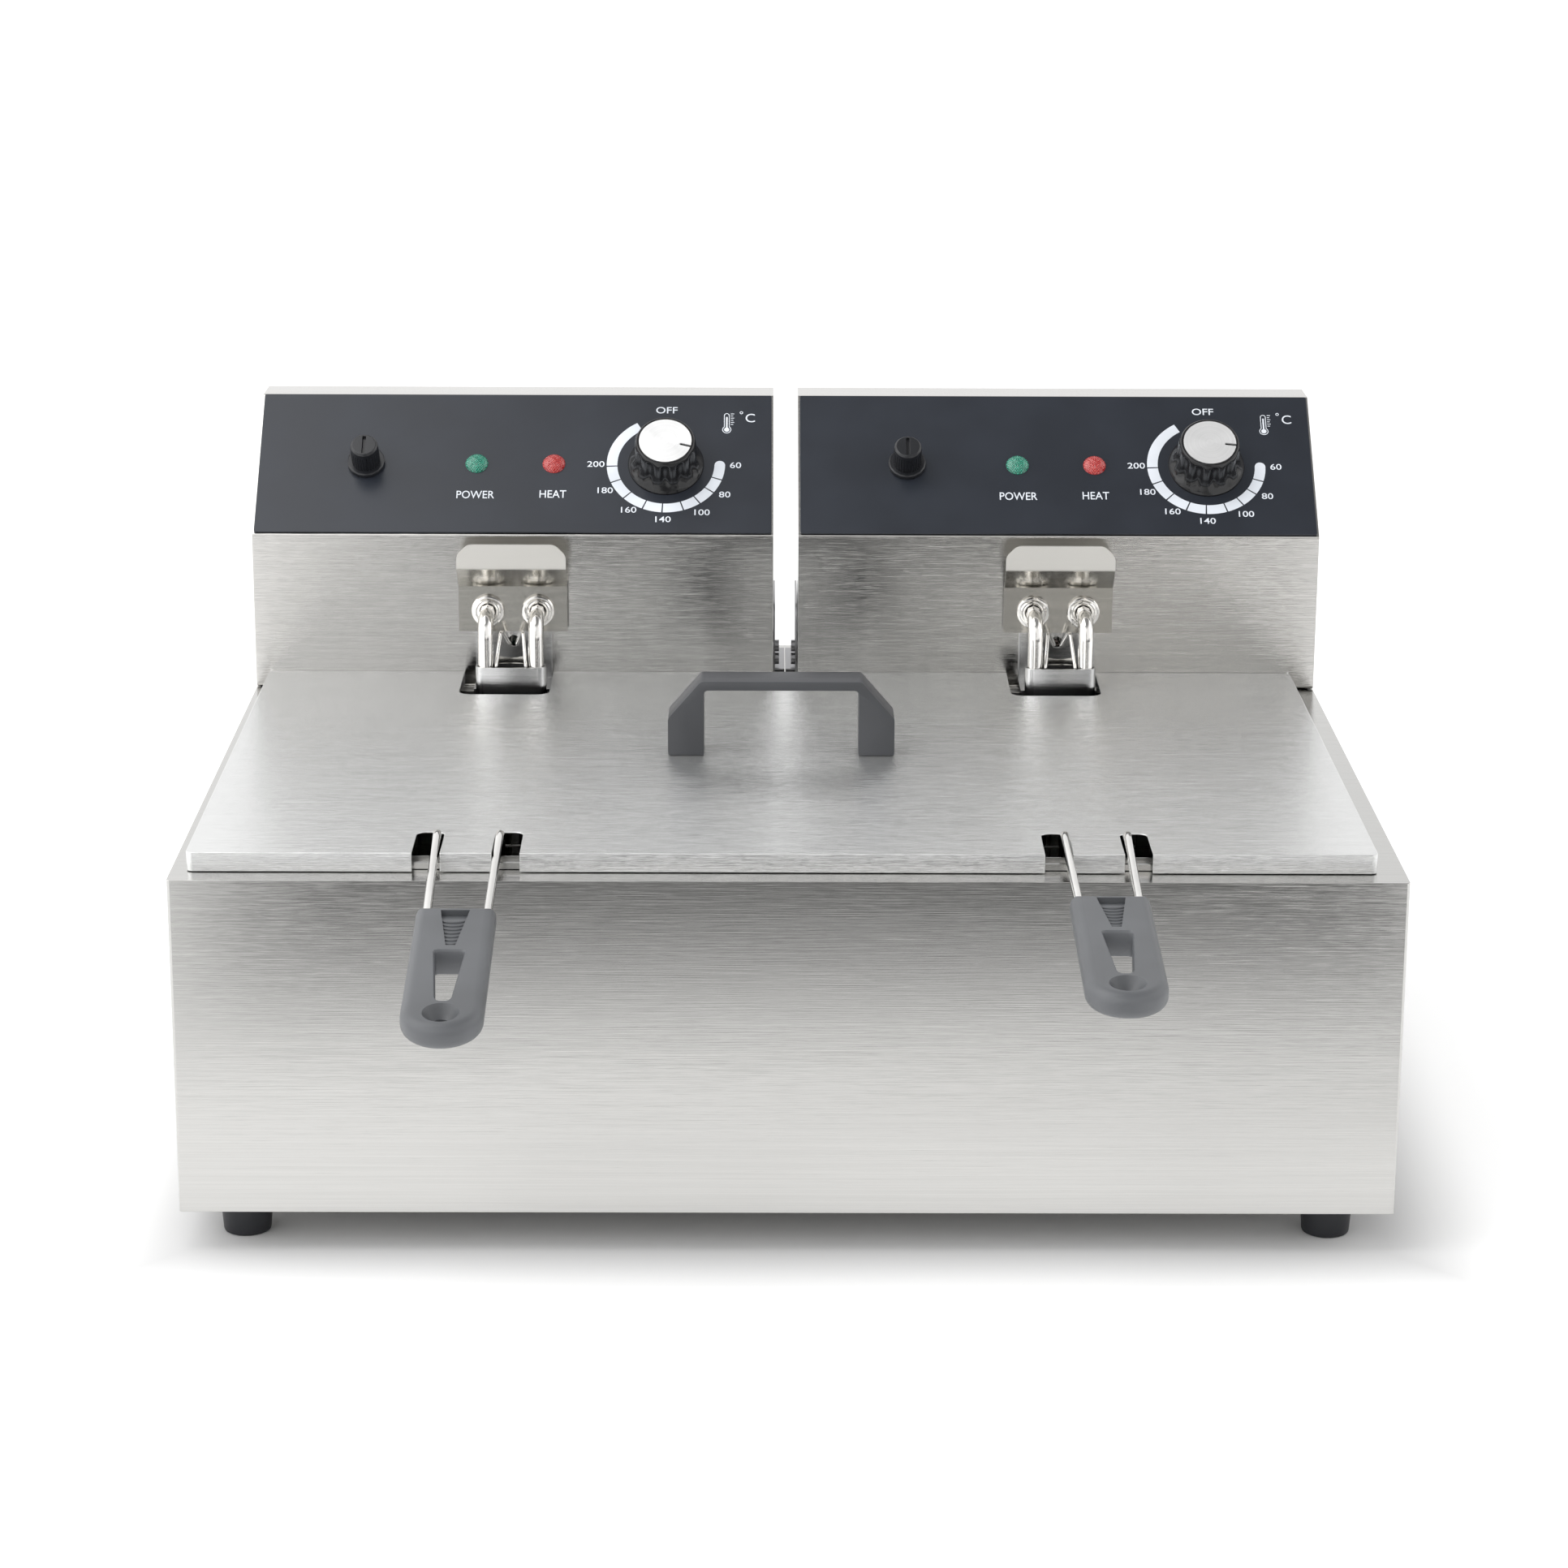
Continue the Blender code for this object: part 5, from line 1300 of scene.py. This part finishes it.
def makeFloor():
    mesh = bpy.data.meshes.new("studio_floor")
    reach = studioSizes["floor"]
    corners = [(-reach, -reach, 0), (reach, -reach, 0), (reach, reach, 0), (-reach, reach, 0)]
    mesh.from_pydata(corners, [], [(0, 1, 2, 3)])
    floor = bpy.data.objects.new("studio_floor", mesh)
    bpy.context.scene.collection.objects.link(floor)
    finish, tree, place = newFinish("floorPaper")
    ahead = tree.node("ShaderNodeSeparateXYZ", None, {0: place}, out=1)
    across = tree.node("ShaderNodeSeparateXYZ", None, {0: place}, out=0)
    # painted light and shadow: the floor glows everywhere except over the body's footprint, and the glow fades in
    # over 7 cm past it, so a painted shadow lies round the body
    past = (across.math("ABSOLUTE") - 0.27).math("MAXIMUM", (ahead - 0.07).math("ABSOLUTE") - 0.21)
    paintedFloorLight = past.between(0.0, 0.07)
    close(tree, {
        "Base Color": (0.76, 0.76, 0.76, 1.0),
        "Roughness": 0.9,
        "Emission Color": paintedFloorLight.tint((0.0, 0.0, 0.0), (0.44, 0.44, 0.44)),
        "Emission Strength": 1.0,
    })
    mesh.materials.append(finish)


def makeFlag():
    # a dark sheet laid in front, which only the polished steel sees: it paints a dark reflection into the steel
    mesh = bpy.data.meshes.new("dark_flag")
    wide, far, near, lift = studioSizes["flag"]
    corners = [(-wide, far, lift), (wide, far, lift), (wide, near, lift), (-wide, near, lift)]
    mesh.from_pydata(corners, [], [(0, 1, 2, 3)])
    flag = bpy.data.objects.new("dark_flag", mesh)
    bpy.context.scene.collection.objects.link(flag)
    flag.visible_camera = False
    flag.visible_diffuse = False
    flag.visible_shadow = False
    finish = bpy.data.materials.new("flagCloth")
    finish.use_nodes = True
    finish.node_tree.nodes.clear()
    tree = Socket(finish.node_tree)
    place = tree.node("ShaderNodeTexCoord", out="Object")
    ahead = tree.node("ShaderNodeSeparateXYZ", None, {0: place}, out=1)
    across = tree.node("ShaderNodeSeparateXYZ", None, {0: place}, out=0)
    # where the sheet is dark, it paints the dark reflection on the steel's front
    cover = ahead.between(-0.30, -0.74).math("MAXIMUM", across.between(-0.5, 0.5) * 0.16)
    cover = cover * across.between(-0.42, -0.28) * across.between(0.43, 0.37)
    clear = tree.node("ShaderNodeBsdfTransparent")
    darkReflection = tree.node("ShaderNodeBsdfDiffuse", None, {0: (0.10, 0.10, 0.10, 1.0)})
    mixed = tree.node("ShaderNodeMixShader", None, {0: cover, 1: clear, 2: darkReflection})
    tree.node("ShaderNodeOutputMaterial", None, {0: mixed})
    mesh.materials.append(finish)


def makeWorld():
    world = bpy.data.worlds.new("studio")
    world.use_nodes = True
    world.node_tree.nodes.clear()
    tree = Socket(world.node_tree)
    way = tree.node("ShaderNodeTexCoord", out="Generated")
    across = tree.node("ShaderNodeSeparateXYZ", None, {0: way}, out=0)
    ahead = tree.node("ShaderNodeSeparateXYZ", None, {0: way}, out=1)
    rise = tree.node("ShaderNodeSeparateXYZ", None, {0: way}, out=2)
    swing = across / ahead.math("ABSOLUTE").math("MAXIMUM", 0.01)
    card = swing.between(-0.10, -0.05) * swing.between(0.066, 0.056)
    card = card.math("MAXIMUM", swing.between(0.094, 0.102) * swing.between(0.135, 0.127))
    card = card * ahead.between(-0.1, -0.4) * rise.between(0.75, 0.5)
    screen = swing.between(-0.09, -0.13) * ahead.between(0.05, -0.2)
    low = ahead.between(-0.3, -0.7) * rise.between(0.26, 0.1) * (1.0 - screen * 0.7)
    roof = rise.between(0.72, 0.9)
    sideways = across.between(0.5, -0.6)
    edge = across.math("ABSOLUTE").between(0.45, 0.8)
    clear = (0.9 + sideways * 0.3 + edge * 0.15 + screen * 0.55) * (1.0 - roof * 0.74)
    light = clear * (1.0 - card * 0.98) * (1.0 - low * 0.85)
    back = tree.node("ShaderNodeBackground", None, {0: (1.0, 1.0, 1.0, 1.0), 1: light})
    tree.node("ShaderNodeOutputWorld", None, {0: back})
    bpy.context.scene.world = world


lights = {
    "overhead": {"place": (-1.15, -0.15, 2.3), "aim": (-0.6, 0, 0), "size": (1.7, 1.8),
                 "power": 20, "tint": (1, 1, 1)},
    "leftSide": {"place": (-2.4, -0.3, 1.5), "aim": (0, 0, 0), "size": (1.8, 1.8),
                 "power": 6, "tint": (1, 1, 1)},
    "rightSide": {"place": (2.4, 0.1, 1.5), "aim": (0, 0, 0), "size": (1.8, 1.8),
                  "power": 6, "tint": (1, 1, 1)},
    "warmStrip": {"place": (0.322, -1.15, 0.34), "aim": (0.2, 0, 0.34), "size": (0.028, 0.6), "power": 0.10,
                  "tint": (1, 0.95, 0.88)},
    "wideStrip": {"place": (0.250, -1.15, 0.48), "aim": (0.15, 0, 0.48), "size": (0.035, 0.5), "power": 0.06,
                  "tint": (1, 0.95, 0.88)},
}


def makeLights():
    for name, look in lights.items():
        lamp = bpy.data.lights.new(name, "AREA")
        lamp.shape = "RECTANGLE"
        lamp.size, lamp.size_y = look["size"]
        lamp.energy = look["power"]
        lamp.color = look["tint"]
        obj = bpy.data.objects.new(name, lamp)
        obj.location = look["place"]
        way = Vector(look["aim"]) - Vector(look["place"])
        obj.rotation_euler = way.to_track_quat("-Z", "Y").to_euler()
        bpy.context.scene.collection.objects.link(obj)


cameraSizes = {
    "place": (-0.01196, -1.87033, 0.72254), "down": 16.15, "yaw": 0.32, "roll": -0.24,
    "lens": 93.17, "sensor": 36,
}


def makeCamera():
    data = bpy.data.cameras.new("studio_camera")
    data.lens = cameraSizes["lens"]
    data.sensor_width = cameraSizes["sensor"]
    camera = bpy.data.objects.new("studio_camera", data)
    turn = Matrix.Rotation(math.radians(-cameraSizes["yaw"]), 4, "Z")
    turn = turn @ Matrix.Rotation(math.radians(90 - cameraSizes["down"]), 4, "X")
    turn = turn @ Matrix.Rotation(math.radians(-cameraSizes["roll"]), 4, "Z")
    camera.matrix_world = Matrix.Translation(cameraSizes["place"]) @ turn
    bpy.context.scene.collection.objects.link(camera)
    bpy.context.scene.camera = camera


makeFloor()
makeFlag()
makeWorld()
makeLights()
makeCamera()
bpy.context.scene.view_settings.view_transform = "Standard"
print("studio set")
